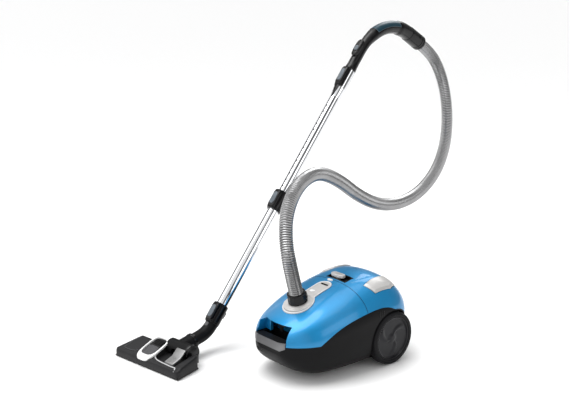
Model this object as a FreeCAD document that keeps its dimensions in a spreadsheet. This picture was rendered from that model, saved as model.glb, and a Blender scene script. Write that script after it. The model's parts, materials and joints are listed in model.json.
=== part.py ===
import FreeCAD, Part
import math
import os
import Sketcher
from FreeCAD import Placement, Rotation, Vector

# Canister vacuum cleaner: a wheeled canister with a hinged dust lid, a corrugated hose,
# a curved handle, a telescopic chrome wand and a combination floor head.
# Millimetres, +Z up, +Y towards the rear of the canister. The origin is on the floor,
# under the middle of everything but the hose.

doc = FreeCAD.newDocument("canister_vacuum")

# ---------------------------------------------------------------- driving dimensions
SIZES = {
    # where the two assemblies stand on the floor
    "canister_x": 138, "axle_y": -69, "tool_x": -144, "tool_y": -606, "tool_yaw": 7.3,
    # canister shells
    "body_front": 332, "body_rear": 114, "body_half_width": 142, "body_height": 240,
    "body_clearance": 12, "shell_wall": 3, "shell_gap": 0.5, "lid_line": 95,
    "seam_front": 110, "seam_high": 171, "seam_rear": 116,
    # rear wheels and front caster
    "wheel_radius": 75, "wheel_width": 28, "wheel_outer": 146, "tyre_depth": 13,
    "axle_radius": 5, "well_gap": 6, "running_gap": 0.05,
    "caster_y": 212, "caster_radius": 11, "caster_width": 14, "caster_pocket": 25,
    # inlet, hose and its two ends
    "inlet_y": 224, "inlet_z": 194, "inlet_lean": 16, "collar_radius": 38, "bore_radius": 24,
    "hose_radius": 20, "hose_wall": 2.5, "cuff_radius": 27, "cuff_length": 28,
    "cuff_spigot": 30, "fit_gap": 0.3,
    # telescopic wand, measured along its own axis from the foot of the outer tube
    "wand_side": 40, "wand_foot_back": 250, "wand_foot_up": 112, "wand_lean": 43,
    "outer_tube_radius": 17.5, "outer_tube_length": 395, "inner_tube_radius": 16,
    "inner_tube_start": 330, "inner_tube_end": 862, "tube_wall": 0.9,
    "flare_start": 756, "flare_full": 792, "flare_radius": 19.5,
    "adjuster_start": 338, "adjuster_length": 64, "adjuster_radius": 21.5,
    "connector_length": 62, "connector_radius": 21,
    # handle
    "handle_radius": 17, "handle_wall": 2.5, "handle_straight": 75, "handle_bend": 215,
    "handle_end_angle": 28, "handle_spigot": 40, "swivel_radius": 23.5, "swivel_length": 84,
    # floor head
    "head_width": 262, "head_rear_width": 234, "head_depth": 92, "head_front_height": 27,
    "head_rear_height": 40, "head_lift": 1.5, "sole_thickness": 4,
    "drum_radius": 23, "drum_back": 92, "drum_up": 40, "drum_left": 6, "drum_right": 84,
    "neck_radius": 22, "neck_rise": 9, "neck_length": 52, "elbow_radius": 19,
    "elbow_bend": 80, "hump_left": 46, "hump_right": -2, "hump_height": 58,
    "pedal_left": 44, "pedal_right": 84,
    # inside the canister
    "motor_x": 36, "motor_up": 92, "motor_radius": 50, "motor_length": 104, "shaft_radius": 4,
    "fan_radius": 42, "reel_x": 66, "reel_radius": 56, "reel_width": 48, "reel_hub": 24,
}

sheet = doc.addObject("Spreadsheet::Sheet", "Sizes")
for row, (alias, value) in enumerate(SIZES.items(), start=1):
    sheet.set("A%d" % row, alias)
    sheet.set("B%d" % row, str(value))
    sheet.setAlias("B%d" % row, alias)
doc.recompute()


def size(name):
    """The value of one cell of the sheet, in millimetres or degrees."""
    return float(sheet.get(name))


def at(x=0.0, y=0.0, z=0.0, axis=(0, 0, 1), angle=0.0):
    """A placement: a turn about an axis through the origin, then a shift."""
    return Placement(Vector(x, y, z), Rotation(Vector(*axis), angle))


# ---------------------------------------------------------------- frames
# Canister frame: on the floor under the rear axle, in the middle plane.
CANISTER = at(size("canister_x"), size("axle_y"), 0)
# Tool frame: on the floor at the middle of the head's front edge, +X right, +Y back.
TOOL = at(size("tool_x"), size("tool_y"), 0, (0, 0, 1), size("tool_yaw"))
# Wand frame: foot of the outer tube, +Z up along the tube, +Y on its underside.
WAND = TOOL.multiply(at(size("wand_side"), size("wand_foot_back"), size("wand_foot_up"),
                        (1, 0, 0), -size("wand_lean")))
# Inlet frame: middle of the collar's mouth on the lid, +Z out of the lid.
INLET = CANISTER.multiply(at(0, -size("inlet_y"), size("inlet_z"), (1, 0, 0),
                             size("inlet_lean")))
# Drum frame: the head's tilt axis, with +Y along the neck.
DRUM = TOOL.multiply(at(0, size("drum_back"), size("drum_up")))
NECK = DRUM.multiply(at(size("wand_side"), 0, 0, (1, 0, 0), size("neck_rise") - 90))

SUBPARTS = []


def subpart(piece, label, placement=None):
    """Give a finished piece its label and place, and list it for export."""
    piece.Label = label
    if placement is not None:
        piece.Placement = placement
    SUBPARTS.append(piece)
    return piece


def in_frame(piece, label, frame):
    """A sub-part made of one boxed piece, carried into a frame by a compound."""
    holder = doc.addObject("Part::Compound", label + "_in_frame")
    holder.Links = [piece]
    return subpart(holder, label, frame)


# ---------------------------------------------------------------- building blocks
def primitive(kind, name, placement=None, **formulas):
    """A Part primitive whose properties are bound to formulas on the sheet."""
    piece = doc.addObject("Part::" + kind, name)
    for prop, formula in formulas.items():
        piece.setExpression(prop, formula)
    if placement is not None:
        piece.Placement = placement
    return piece


def box(name, x, y, z, length, width, height):
    """A box from its low corner and its three sides, all formulas."""
    piece = primitive("Box", name, Length=length, Width=width, Height=height)
    piece.setExpression("Placement.Base.x", x)
    piece.setExpression("Placement.Base.y", y)
    piece.setExpression("Placement.Base.z", z)
    return piece


def cylinder(name, radius, height, placement=None):
    """A cylinder along its own +Z."""
    return primitive("Cylinder", name, placement, Radius=radius, Height=height)


def cut(name, base, *tools):
    """The base piece less every tool."""
    tool = tools[0]
    if len(tools) > 1:
        tool = fuse(name + "_tools", *tools)
    result = doc.addObject("Part::Cut", name)
    result.Base = base
    result.Tool = tool
    return result


def fuse(name, *pieces):
    """Several pieces joined into one."""
    result = doc.addObject("Part::MultiFuse", name)
    result.Shapes = list(pieces)
    return result


def group(name, *pieces):
    """Separate solids kept as one compound."""
    result = doc.addObject("Part::Compound", name)
    result.Links = list(pieces)
    return result


def solid(name, shape):
    """A free-form shape held by a feature of its own."""
    piece = doc.addObject("Part::Feature", name)
    piece.Shape = shape
    return piece


def outline_sketch(body, role, points):
    """A closed sketch whose corners are pinned by pairs of formulas."""
    sketch = body.newObject("Sketcher::SketchObject", body.Name + "_outline")
    plane = [item for item in body.Origin.OriginFeatures if item.Role == role][0]
    sketch.AttachmentSupport = [(plane, "")]
    sketch.MapMode = "FlatFace"
    places = []
    for across, up in points:
        places.append((value_of(across), value_of(up)))
    count = len(points)
    for index in range(count):
        start = Vector(places[index][0], places[index][1], 0)
        end = Vector(places[(index + 1) % count][0], places[(index + 1) % count][1], 0)
        sketch.addGeometry(Part.LineSegment(start, end), False)
    for index in range(count):
        sketch.addConstraint(Sketcher.Constraint("Coincident", index, 2, (index + 1) % count, 1))
    for index, (across, up) in enumerate(points):
        for kind, formula, value in (("DistanceX", across, places[index][0]),
                                     ("DistanceY", up, places[index][1])):
            number = sketch.addConstraint(Sketcher.Constraint(kind, index, 1, value))
            sketch.setExpression("Constraints[%d]" % number, formula)
    return sketch


def value_of(formula):
    """A formula's present value, read through the sheet."""
    sheet.set("D1", "=" + formula.replace("Sizes.", ""))
    sheet.recompute()
    return float(sheet.get("D1"))


def turned(name, points, placement=None):
    """A body turned about its own Z from an outline of (radius, height) formulas."""
    body = doc.addObject("PartDesign::Body", name)
    sketch = outline_sketch(body, "XZ_Plane", points)
    turn = body.newObject("PartDesign::Revolution", name + "_turn")
    turn.Profile = sketch
    turn.ReferenceAxis = (sketch, ["V_Axis"])
    turn.Angle = 360
    if placement is not None:
        body.Placement = placement
    return body


def ring(name, inner, outer, low, high, placement=None):
    """A plain turned ring or tube."""
    return turned(name, [(inner, low), (outer, low), (outer, high), (inner, high)], placement)


def swept(path, radius):
    """A round bar along a wire that starts at its first vertex."""
    first = path.Edges[0]
    start = first.valueAt(first.FirstParameter)
    along = first.tangentAt(first.FirstParameter)
    circle = Part.Wire([Part.Edge(Part.Circle(start, along, radius))])
    return path.makePipeShell([circle], True, False)


# ================================================================ canister
# Stations along the canister: distance behind the axle, half width, floor and roof,
# as shares of the overall sizes, so that the shell follows them.
def stations():
    """The shell's cross-sections, from the nose to the tail."""
    front = -size("body_front")
    rear = size("body_rear")
    half = size("body_half_width")
    top = size("body_height")
    low = size("body_clearance")
    nose = [
        (1.000, 0.32, 73, 0.535), (0.965, 0.47, 48, 0.590), (0.905, 0.62, 29, 0.655),
        (0.830, 0.745, 15, 0.715), (0.745, 0.835, 6, 0.765), (0.600, 0.915, 1, 0.842),
        (0.420, 0.972, 0, 0.915), (0.240, 0.995, 0, 0.968), (0.060, 1.000, 0, 1.000),
    ]
    tail = [
        (0.200, 0.992, 0, 0.985), (0.520, 0.900, 1, 0.915), (0.740, 0.740, 7, 0.835),
        (0.910, 0.575, 24, 0.725), (1.000, 0.460, 48, 0.615),
    ]
    rows = []
    for share, wide, lift, roof in nose:
        rows.append((front * share, half * wide, low + lift, top * roof))
    for share, wide, lift, roof in tail:
        rows.append((rear * share, half * wide, low + lift, top * roof))
    return rows


def section(y, half, low, high):
    """One closed cross-section: boxy below its widest height, domed above it."""
    middle = low + 0.58 * (high - low)
    points = []
    count = 28
    for index in range(count):
        angle = 2 * math.pi * index / count
        across = math.cos(angle)
        up = math.sin(angle)
        power = 2 / 2.3 if up >= 0 else 2 / 4.2
        reach = high - middle if up >= 0 else middle - low
        x = half * math.copysign(abs(across) ** power, across)
        z = middle + reach * math.copysign(abs(up) ** power, up)
        points.append(Vector(x, y, z))
    curve = Part.BSplineCurve()
    curve.interpolate(points, PeriodicFlag=True)
    return Part.Wire([curve.toShape()])


def envelope(inset):
    """The canister's outer form, moved in by a distance all round."""
    rows = stations()
    first = rows[0][0] + inset
    last = rows[-1][0] - inset
    span = rows[-1][0] - rows[0][0]
    wires = []
    for y, half, low, high in rows:
        share = (y - rows[0][0]) / span
        wires.append(section(first + (last - first) * share, half - inset, low + inset,
                             high - inset))
    return Part.makeLoft(wires, True, False)


def below_seam(lift):
    """Everything under the line where the dark chassis meets the blue shells."""
    front = size("seam_front") + lift
    high = size("seam_high") + lift
    rear = size("seam_rear") + lift
    line = size("lid_line")
    corner = Vector(0, -size("body_front") * 0.75, front)
    arch = Part.BSplineCurve()
    arch.interpolate([corner, Vector(0, -size("body_front") * 0.54, front + 0.64 * (high - front)),
                      Vector(0, -line - 15, high - 5), Vector(0, -line + 40, high + 1),
                      Vector(0, -15, high - 3), Vector(0, 0.22 * size("body_rear"), high - 23),
                      Vector(0, 0.66 * size("body_rear"), rear + 7),
                      Vector(0, size("body_rear") + 40, rear)])
    start = Vector(0, -size("body_front") - 40, front)
    end = arch.value(arch.LastParameter)
    foot_end = Vector(0, end.y, -50)
    foot_start = Vector(0, start.y, -50)
    side = Part.Wire([Part.makeLine(start, corner), arch.toShape(),
                      Part.makeLine(end, foot_end), Part.makeLine(foot_end, foot_start),
                      Part.makeLine(foot_start, start)])
    face = Part.Face(side)
    face.translate(Vector(-300, 0, 0))
    return face.extrude(Vector(600, 0, 0))


def block(x0, x1, y0, y1, z0, z1):
    """A plain block between two corners."""
    return Part.makeBox(x1 - x0, y1 - y0, z1 - z0, Vector(x0, y0, z0))


def rod(radius, start, end):
    """A round rod between two points."""
    along = Vector(*end) - Vector(*start)
    return Part.makeCylinder(radius, along.Length, Vector(*start), along)


def plan_prism(points, z0, z1):
    """A prism standing on a plan outline."""
    corners = [Vector(x, y, z0) for x, y in points]
    wire = Part.makePolygon(corners + [corners[0]])
    return Part.Face(wire).extrude(Vector(0, 0, z1 - z0))


def front_prism(points, y0, y1):
    """A prism along the canister from an outline of (across, up) corners."""
    corners = [Vector(x, y0, z) for x, z in points]
    wire = Part.makePolygon(corners + [corners[0]])
    return Part.Face(wire).extrude(Vector(0, y1 - y0, 0))


WALL = size("shell_wall")
GAP = size("shell_gap")
LINE = -size("lid_line")
OUTER = envelope(0)
INNER = envelope(WALL)
LINER = envelope(WALL - 0.5)
LOWER_SPACE = below_seam(0)
UPPER_SPACE = below_seam(GAP)
AXLE_Z = size("wheel_radius")
WELL = size("wheel_radius") + size("well_gap")
WELL_INNER = size("wheel_outer") - size("wheel_width") - size("well_gap")


def wells(radius, start):
    """Both wheel wells as solid discs from a half width outwards."""
    right = rod(radius, (start, 0, AXLE_Z), (200, 0, AXLE_Z))
    left = rod(radius, (-start, 0, AXLE_Z), (-200, 0, AXLE_Z))
    return right.fuse(left)


# The grip pocket behind the bumper bar, under the lid's lip.
GRIP_HALF = 50
GRIP_BACK = -size("body_front") + 64
GRIP_FRONT = -size("body_front") + 27
GRIP_FLOOR = 90
BAR_TOP = size("seam_front") + 11
LIP = -size("body_front") + 42
LIP_HEIGHT = 156
TUB_WALL = 4


# Screws that close the chassis from below.
SCREW_PLACES = ((-95, -60), (95, -60), (-80, 60), (80, 60), (-70, -230), (70, -230))


def make_lower_housing():
    """Dark chassis tub with wheel wells, bulkhead, caster pocket and bosses."""
    shell = OUTER.cut(INNER).common(LOWER_SPACE)
    cups = OUTER.common(wells(WELL + WALL, WELL_INNER - WALL))
    filter_wall = LINER.common(block(-150, 150, LINE - 4, LINE - 1, 0, 200)).common(LOWER_SPACE)
    caster_y = -size("caster_y")
    pocket = size("caster_pocket")
    pocket_cup = rod(pocket + WALL, (0, caster_y, 16), (0, caster_y, 36))
    stem_boss = rod(9, (0, caster_y, 34), (0, caster_y, 52))
    solid_body = shell.fuse([cups, filter_wall, pocket_cup.common(OUTER), stem_boss])
    motor_x = size("motor_x")
    for x, y in SCREW_PLACES:
        boss = rod(6, (x, y, 0), (x, y, 44)).common(OUTER)
        solid_body = solid_body.fuse(boss)
    for y in (-60, 28):
        saddle = LINER.common(block(motor_x - 30, motor_x + 30, y, y + 6, 10, 38))
        solid_body = solid_body.fuse(saddle)
    tools = [
        wells(WELL, WELL_INNER),
        rod(pocket, (0, caster_y, -5), (0, caster_y, 33)),
        rod(size("axle_radius") + 0.2, (0, caster_y, 20), (0, caster_y, 48)),
        block(motor_x - 55, motor_x + 55, LINE - 10, LINE + 5, 50, 135),
        rod(size("motor_radius") + 7.3, (motor_x, -75, size("motor_up")),
            (motor_x, 45, size("motor_up"))),
        block(-GRIP_HALF - TUB_WALL - GAP, GRIP_HALF + TUB_WALL + GAP, -400,
              GRIP_BACK + TUB_WALL + GAP, GRIP_FLOOR - TUB_WALL - GAP, 200),
        block(-44, 52, 90, 130, 72, 106),
        rod(8.3, (-60, 90, 88), (-60, 130, 88)),
    ]
    for x, y in SCREW_PLACES:
        tools.append(rod(3.8, (x, y, -5), (x, y, 22.6)))
        tools.append(rod(1.6, (x, y, 20), (x, y, 40)))
    for side in (-1, 1):
        tools.append(rod(size("axle_radius") + 0.1, (side * 90, 0, AXLE_Z),
                         (side * 130, 0, AXLE_Z)))
    for tool in tools:
        solid_body = solid_body.cut(tool)
    return main_solid(solid_body)


def main_solid(shape):
    """The largest solid of a shape: offcuts of a cut are dropped."""
    return max(shape.Solids, key=lambda item: item.Volume)


def keyhole(grow):
    """Plan of the inlet panel: a round front and a rounded tongue running back."""
    y = -size("inlet_y")
    round_part = rod(44 + grow, (0, y, 100), (0, y, 300))
    tongue = block(-24 - grow, 24 + grow, y, y + 90 + grow, 100, 300)
    end = rod(24 + grow, (0, y + 90, 100), (0, y + 90, 300))
    return round_part.fuse([tongue, end])


def inlet_rod(radius, low, high):
    """A rod along the inlet's own axis, in the canister frame."""
    place = at(0, -size("inlet_y"), size("inlet_z"), (1, 0, 0), size("inlet_lean"))
    piece = Part.makeCylinder(radius, high - low, Vector(0, 0, low))
    piece.Placement = place
    return piece


def make_dust_lid():
    """Blue lid over the dust bag, with its grip lip and inlet hole."""
    front = block(-200, 200, -400, LINE - GAP / 2, 0, 300)
    shell = OUTER.cut(INNER).cut(UPPER_SPACE).common(front)
    back_wall = LINER.common(block(-200, 200, GRIP_BACK + 8, GRIP_BACK + 11, 118, 300))
    shell = shell.fuse(back_wall.cut(UPPER_SPACE))
    mouth = front_prism([(-62, 0), (62, 0), (62, BAR_TOP - 3), (GRIP_HALF + 2, LIP_HEIGHT),
                         (-GRIP_HALF - 2, LIP_HEIGHT), (-62, BAR_TOP - 3)], -400, LIP)
    tub = block(-GRIP_HALF - TUB_WALL - GAP, GRIP_HALF + TUB_WALL + GAP, -400,
                GRIP_BACK + TUB_WALL + GAP, 0, BAR_TOP + GAP)
    shell = shell.cut(mouth).cut(tub)
    shell = shell.cut(inlet_rod(size("bore_radius") + 7.3, -60, 40))
    shell = shell.cut(inlet_rod(size("collar_radius") + 0.5, 0.7, 40))
    latch = block(-16.5, 16.5, LIP - 4, LIP + 20, 100, LIP_HEIGHT + 2)
    return main_solid(shell.cut(latch))


def make_rear_housing():
    """Blue cover over the motor, with openings for the pedals and the slider."""
    rear = block(-200, 200, LINE + GAP / 2, 300, 0, 300)
    shell = OUTER.cut(INNER).cut(UPPER_SPACE).common(rear)
    shell = shell.cut(wells(WELL + WALL + 0.3, WELL_INNER - WALL - 0.3))
    for side in (-1, 1):
        shell = shell.cut(plan_prism(pedal_plan(side, 0.8), 150, 300))
    return main_solid(shell.cut(block(-38, 38, -87.5, -52.5, 180, 300)))


# A pedal's stem stands at this share of the half width.
PEDAL_MIDDLE = 0.62


def pedal_plan(side, grow):
    """Six-cornered plan of a rear pedal, as formulas of the half width."""
    half = size("body_half_width")
    corners = [(0.556, -56), (0.785, -43), (0.785, 18), (0.655, 54), (0.45, 43), (0.495, -25)]
    middle_x = PEDAL_MIDDLE * half
    middle_y = -5
    points = []
    for share, y in corners:
        out_x = grow if share * half > middle_x else -grow
        out_y = grow if y > middle_y else -grow
        points.append((side * (share * half + out_x), y + out_y))
    if side < 0:
        points.reverse()
    return points


def make_pedal(side):
    """One rear pedal: a plate that stands a little proud of the shell, with a stem."""
    plate = envelope(-4).cut(envelope(1.5)).common(plan_prism(pedal_plan(side, 0), 150, 300))
    plate = main_solid(plate)
    x = side * PEDAL_MIDDLE * size("body_half_width")
    stem = rod(5, (x, -12, 200), (x, -12, 223))
    return plate.fuse(stem).removeSplitter()


def make_power_slider():
    """Rounded grip that slides in the track on top."""
    top = size("body_height")
    grip = block(-32, 20, -80.5, -59.5, top - 10, top + 2)
    grip = grip.makeFillet(8, [edge for edge in grip.Edges if abs(edge.tangentAt(0).z) > 0.9])
    stem = block(-10, -2, -74, -66, top - 18, top - 10)
    return grip.fuse(stem)


def make_slider_track():
    """Dark dished track under the power slider."""
    top = size("body_height")
    tub = OUTER.common(block(-37.5, 37.5, -87, -53, top - 19, top + 10))
    tub = tub.cut(block(-34, 34, -83.5, -56.5, top - 12, top + 20))
    return tub.cut(block(-11, 12, -75, -65, top - 30, top + 20))


def make_carry_grip():
    """Dark bumper bar and the finger pocket behind it."""
    tub = envelope(0.3).common(block(-GRIP_HALF - TUB_WALL, GRIP_HALF + TUB_WALL, -400,
                                     GRIP_BACK + TUB_WALL, GRIP_FLOOR - TUB_WALL, BAR_TOP))
    return tub.cut(block(-GRIP_HALF, GRIP_HALF, GRIP_FRONT, GRIP_BACK, GRIP_FLOOR, 200))


def make_bumper_band():
    """Silver band on the front of the bumper bar."""
    skin = envelope(-1.6).cut(envelope(-0.3))
    outline = front_prism([(-48, 98), (48, 98), (61, 105), (61, BAR_TOP), (-61, BAR_TOP), (-61, 105)],
                          -400, GRIP_FRONT + 3)
    return main_solid(skin.common(outline))


def make_inlet_panel():
    """Silver keyhole panel that lies on the lid round the inlet."""
    skin = envelope(-2.0).cut(envelope(-0.3)).common(keyhole(0))
    skin = skin.cut(inlet_rod(size("collar_radius") + 0.5, -60, 60))
    return main_solid(skin)


def make_dust_bag():
    """Soft paper bag: a plain closed form of the filled bag."""
    front = -size("body_front") + 88
    bag = block(-82, 82, front, LINE - 14, 56, 142)
    return bag.makeFillet(22, bag.Edges)


subpart(solid("lower_housing_shape", make_lower_housing()), "lower_housing", CANISTER)
subpart(solid("dust_lid_shape", make_dust_lid()), "dust_lid", CANISTER)
subpart(solid("rear_housing_shape", make_rear_housing()), "rear_housing", CANISTER)
subpart(solid("carry_grip_shape", make_carry_grip()), "carry_grip", CANISTER)
subpart(solid("bumper_band_shape", make_bumper_band()), "bumper_band", CANISTER)
subpart(solid("inlet_panel_shape", make_inlet_panel()), "inlet_panel", CANISTER)
subpart(solid("dust_bag_shape", make_dust_bag()), "dust_bag", CANISTER)
subpart(solid("slider_track_shape", make_slider_track()), "slider_track", CANISTER)
subpart(solid("power_slider_shape", make_power_slider()), "power_slider", CANISTER)
for side, label in ((1, "power_pedal"), (-1, "rewind_pedal")):
    subpart(solid(label + "_shape", make_pedal(side)), label, CANISTER)

# ================================================================ inlet and lid fittings
subpart(turned("collar_turn", [
    ("Sizes.bore_radius", "-30"), ("Sizes.bore_radius + 6", "-30"),
    ("Sizes.bore_radius + 6", "1"), ("Sizes.collar_radius", "1"),
    ("Sizes.collar_radius", "3"), ("Sizes.bore_radius + 5", "5"),
    ("Sizes.bore_radius", "5")]), "inlet_collar", INLET)


latch_tab = box("latch_tab", "-15", "-Sizes.body_front + 44", "143", "30", "3", "11")
latch_arm = box("latch_arm", "-6", "-Sizes.body_front + 46.5", "127", "12", "3", "18")
subpart(fuse("latch_body", latch_tab, latch_arm), "lid_latch", CANISTER)

# ================================================================ inside the canister
MOTOR = CANISTER.multiply(at(size("motor_x"), -68, size("motor_up"), (1, 0, 0), -90))
subpart(turned("motor_can_turn", [
    ("Sizes.shaft_radius + 6.3", "0"), ("Sizes.motor_radius", "0"),
    ("Sizes.motor_radius", "36"), ("Sizes.motor_radius - 12", "44"),
    ("Sizes.motor_radius - 12", "Sizes.motor_length"),
    ("Sizes.shaft_radius + 6.3", "Sizes.motor_length"),
    ("Sizes.shaft_radius + 6.3", "Sizes.motor_length - 2"),
    ("Sizes.motor_radius - 14", "Sizes.motor_length - 2"),
    ("Sizes.motor_radius - 14", "42"), ("Sizes.motor_radius - 2", "34"),
    ("Sizes.motor_radius - 2", "2"), ("Sizes.shaft_radius + 6.3", "2")]), "motor_can", MOTOR)
subpart(turned("shaft_turn", [
    ("0", "-4"), ("Sizes.shaft_radius", "-4"), ("Sizes.shaft_radius", "46"),
    ("22", "46"), ("22", "90"), ("Sizes.shaft_radius", "90"),
    ("Sizes.shaft_radius", "Sizes.motor_length + 2"), ("0", "Sizes.motor_length + 2")]),
    "motor_rotor", MOTOR)
fan_plate = ring("fan_plate", "Sizes.shaft_radius", "Sizes.fan_radius", "8", "10")
fan_hub = ring("fan_hub", "Sizes.shaft_radius", "12", "10", "28")
fan_blades = []
for number in range(7):
    blade = box("fan_blade_%d" % number, "10", "-1", "9", "Sizes.fan_radius - 12", "2", "15")
    arm = at(0, 0, 0, (0, 0, 1), number * 360 / 7)
    holder = group("fan_arm_%d" % number, blade)
    holder.Placement = arm
    fan_blades.append(holder)
subpart(fuse("fan_body", fan_plate, fan_hub, *fan_blades), "fan_impeller", MOTOR)
front_bearing = ring("front_bearing", "Sizes.shaft_radius + Sizes.running_gap",
                     "Sizes.shaft_radius + 6.2", "-3", "3")
rear_bearing = ring("rear_bearing", "Sizes.shaft_radius + Sizes.running_gap",
                    "Sizes.shaft_radius + 6.2", "Sizes.motor_length - 4", "Sizes.motor_length + 1")
subpart(group("bearing_pair", front_bearing, rear_bearing), "motor_bearings", MOTOR)
front_mount = ring("front_mount", "Sizes.motor_radius + 0.2", "Sizes.motor_radius + 7", "7", "15")
rear_mount = ring("rear_mount", "Sizes.motor_radius - 11.8", "Sizes.motor_radius + 7",
                  "Sizes.motor_length - 8", "Sizes.motor_length - 1")
subpart(group("mount_pair", front_mount, rear_mount), "motor_mounts", MOTOR)

REEL = CANISTER.multiply(at(-size("reel_x"), 4, 84, (0, 1, 0), 90))
subpart(turned("reel_turn", [
    ("5.1", "-Sizes.reel_width / 2"), ("Sizes.reel_radius", "-Sizes.reel_width / 2"),
    ("Sizes.reel_radius", "-Sizes.reel_width / 2 + 2"), ("Sizes.reel_hub", "-Sizes.reel_width / 2 + 2"),
    ("Sizes.reel_hub", "Sizes.reel_width / 2 - 2"), ("Sizes.reel_radius", "Sizes.reel_width / 2 - 2"),
    ("Sizes.reel_radius", "Sizes.reel_width / 2"), ("5.1", "Sizes.reel_width / 2")]),
    "cord_reel", REEL)
reel_pin = cylinder("reel_pin", "5", "Sizes.reel_width + 8", at(0, 0, -size("reel_width") / 2 - 4))
reel_plate = cylinder("reel_plate", "30", "2", at(0, 0, -size("reel_width") / 2 - 4))
reel_cap = cylinder("reel_cap", "30", "2", at(0, 0, size("reel_width") / 2 + 2))
subpart(fuse("reel_frame_body", reel_pin, reel_plate, reel_cap), "cord_reel_frame", REEL)
subpart(ring("gland_turn", "4", "8", "-14", "8", at(-60, 111, 88, (1, 0, 0), -90)),
        "cord_outlet", CANISTER.multiply(at(-60, 108, 88, (1, 0, 0), -90)))
in_frame(box("motor_filter_box", "Sizes.motor_x - 57", "-Sizes.lid_line + 0.6", "47", "114", "7", "91"),
        "motor_filter", CANISTER)
in_frame(box("exhaust_filter_box", "-36", "82", "64", "82", "8", "50"), "exhaust_filter", CANISTER)
grille_plate = box("grille_plate", "-43.5", "109", "72.5", "95", "7", "33")
grille_slots = []
for number in range(9):
    slot = box("grille_slot_%d" % number, "-36 + %d * 9.5" % number, "100", "77", "5", "30", "24")
    grille_slots.append(slot)
subpart(cut("grille_body", grille_plate, *grille_slots), "exhaust_grille", CANISTER)
in_frame(box("board_box", "-50", "-84", "186", "100", "60", "1.6"), "circuit_board", CANISTER)
pedal_coils = []
for side in (-1, 1):
    coil_place = at(side * PEDAL_MIDDLE * size("body_half_width"), -12, 188.5)
    pedal_coils.append(ring("coil_%d" % side, "4", "6", "0", "7", coil_place))
subpart(group("coil_pair", *pedal_coils), "pedal_springs", CANISTER)
frame_plate = box("frame_plate", "-Sizes.body_half_width + 32", "-88", "183", "2 * Sizes.body_half_width - 64",
                  "116", "2.5")
in_frame(frame_plate, "control_frame", CANISTER)


def make_bag_holder():
    """Plate that holds the bag's mouth against the inlet."""
    plate = block(-44, 44, -size("inlet_y") - 30, -size("inlet_y") + 44, 145.5, 149)
    return plate.cut(rod(20, (0, -size("inlet_y") + 8, 100), (0, -size("inlet_y") + 8, 200)))


subpart(solid("bag_holder_shape", make_bag_holder()), "bag_holder", CANISTER)


screws = []
for x, y in SCREW_PLACES:
    head = cylinder("screw_head_%d_%d" % (x, y), "3.5", "2.5", at(x, y, 20))
    shank = cylinder("screw_shank_%d_%d" % (x, y), "1.5", "16", at(x, y, 22.5))
    screws.append(fuse("screw_%d_%d" % (x, y), head, shank))
subpart(group("screw_set", *screws), "housing_screws", CANISTER)

# ================================================================ wheels
axle_stubs = []
for side in (-1, 1):
    stub = cylinder("axle_%d" % side, "Sizes.axle_radius", "Sizes.wheel_outer - 98",
                    at(side * 94, 0, size("wheel_radius"), (0, 1, 0), side * 90))
    axle_stubs.append(stub)
subpart(group("axle_pair", *axle_stubs), "wheel_axles", CANISTER)
for side, hand in ((1, "right"), (-1, "left")):
    wheel_place = CANISTER.multiply(at(side * (size("wheel_outer") - size("wheel_width")), 0,
                                       size("wheel_radius"), (0, 1, 0), side * 90))
    subpart(turned(hand + "_tyre_turn", [
        ("Sizes.wheel_radius - Sizes.tyre_depth", "3"),
        ("Sizes.wheel_radius - 3", "0"), ("Sizes.wheel_radius", "5"),
        ("Sizes.wheel_radius", "Sizes.wheel_width - 7"),
        ("Sizes.wheel_radius - 4", "Sizes.wheel_width - 2"),
        ("Sizes.wheel_radius - Sizes.tyre_depth", "Sizes.wheel_width - 1")]),
        hand + "_tyre", wheel_place)
    subpart(turned(hand + "_disc_turn", [
        ("Sizes.axle_radius + Sizes.running_gap", "4"),
        ("12", "4"), ("12", "14"), ("Sizes.wheel_radius - Sizes.tyre_depth - 6", "14"),
        ("Sizes.wheel_radius - Sizes.tyre_depth - 6", "6"),
        ("Sizes.wheel_radius - Sizes.tyre_depth", "6"),
        ("Sizes.wheel_radius - Sizes.tyre_depth", "Sizes.wheel_width - 3"),
        ("Sizes.wheel_radius - Sizes.tyre_depth - 5", "Sizes.wheel_width"),
        ("0", "Sizes.wheel_width"), ("0", "Sizes.wheel_width - 3"),
        ("Sizes.axle_radius + Sizes.running_gap", "Sizes.wheel_width - 3")]),
        hand + "_wheel", wheel_place)

CASTER = CANISTER.multiply(at(0, -size("caster_y"), 0))
fork_stem = cylinder("fork_stem", "Sizes.axle_radius", "22", at(0, 0, 25))
fork_crown = cylinder("fork_crown", "Sizes.caster_pocket - 6", "3", at(0, 0, 26))
fork_cheeks = []
for side in (-1, 1):
    cheek = box("fork_cheek_%d" % side, "%d * (Sizes.caster_width / 2 + 2) - 1.5" % side, "-2", "6",
                "3", "16", "21")
    fork_cheeks.append(cheek)
fork_pin = cylinder("fork_pin", "2", "Sizes.caster_width + 7",
                    at(-size("caster_width") / 2 - 3.5, 6, size("caster_radius"), (0, 1, 0), 90))
subpart(fuse("fork_body", fork_stem, fork_crown, fork_pin, *fork_cheeks), "caster_fork", CASTER)
subpart(ring("roller_turn", "2 + Sizes.running_gap", "Sizes.caster_radius",
             "-Sizes.caster_width / 2", "Sizes.caster_width / 2"), "caster_roller",
        CASTER.multiply(at(0, 6, size("caster_radius"), (0, 1, 0), 90)))

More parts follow.
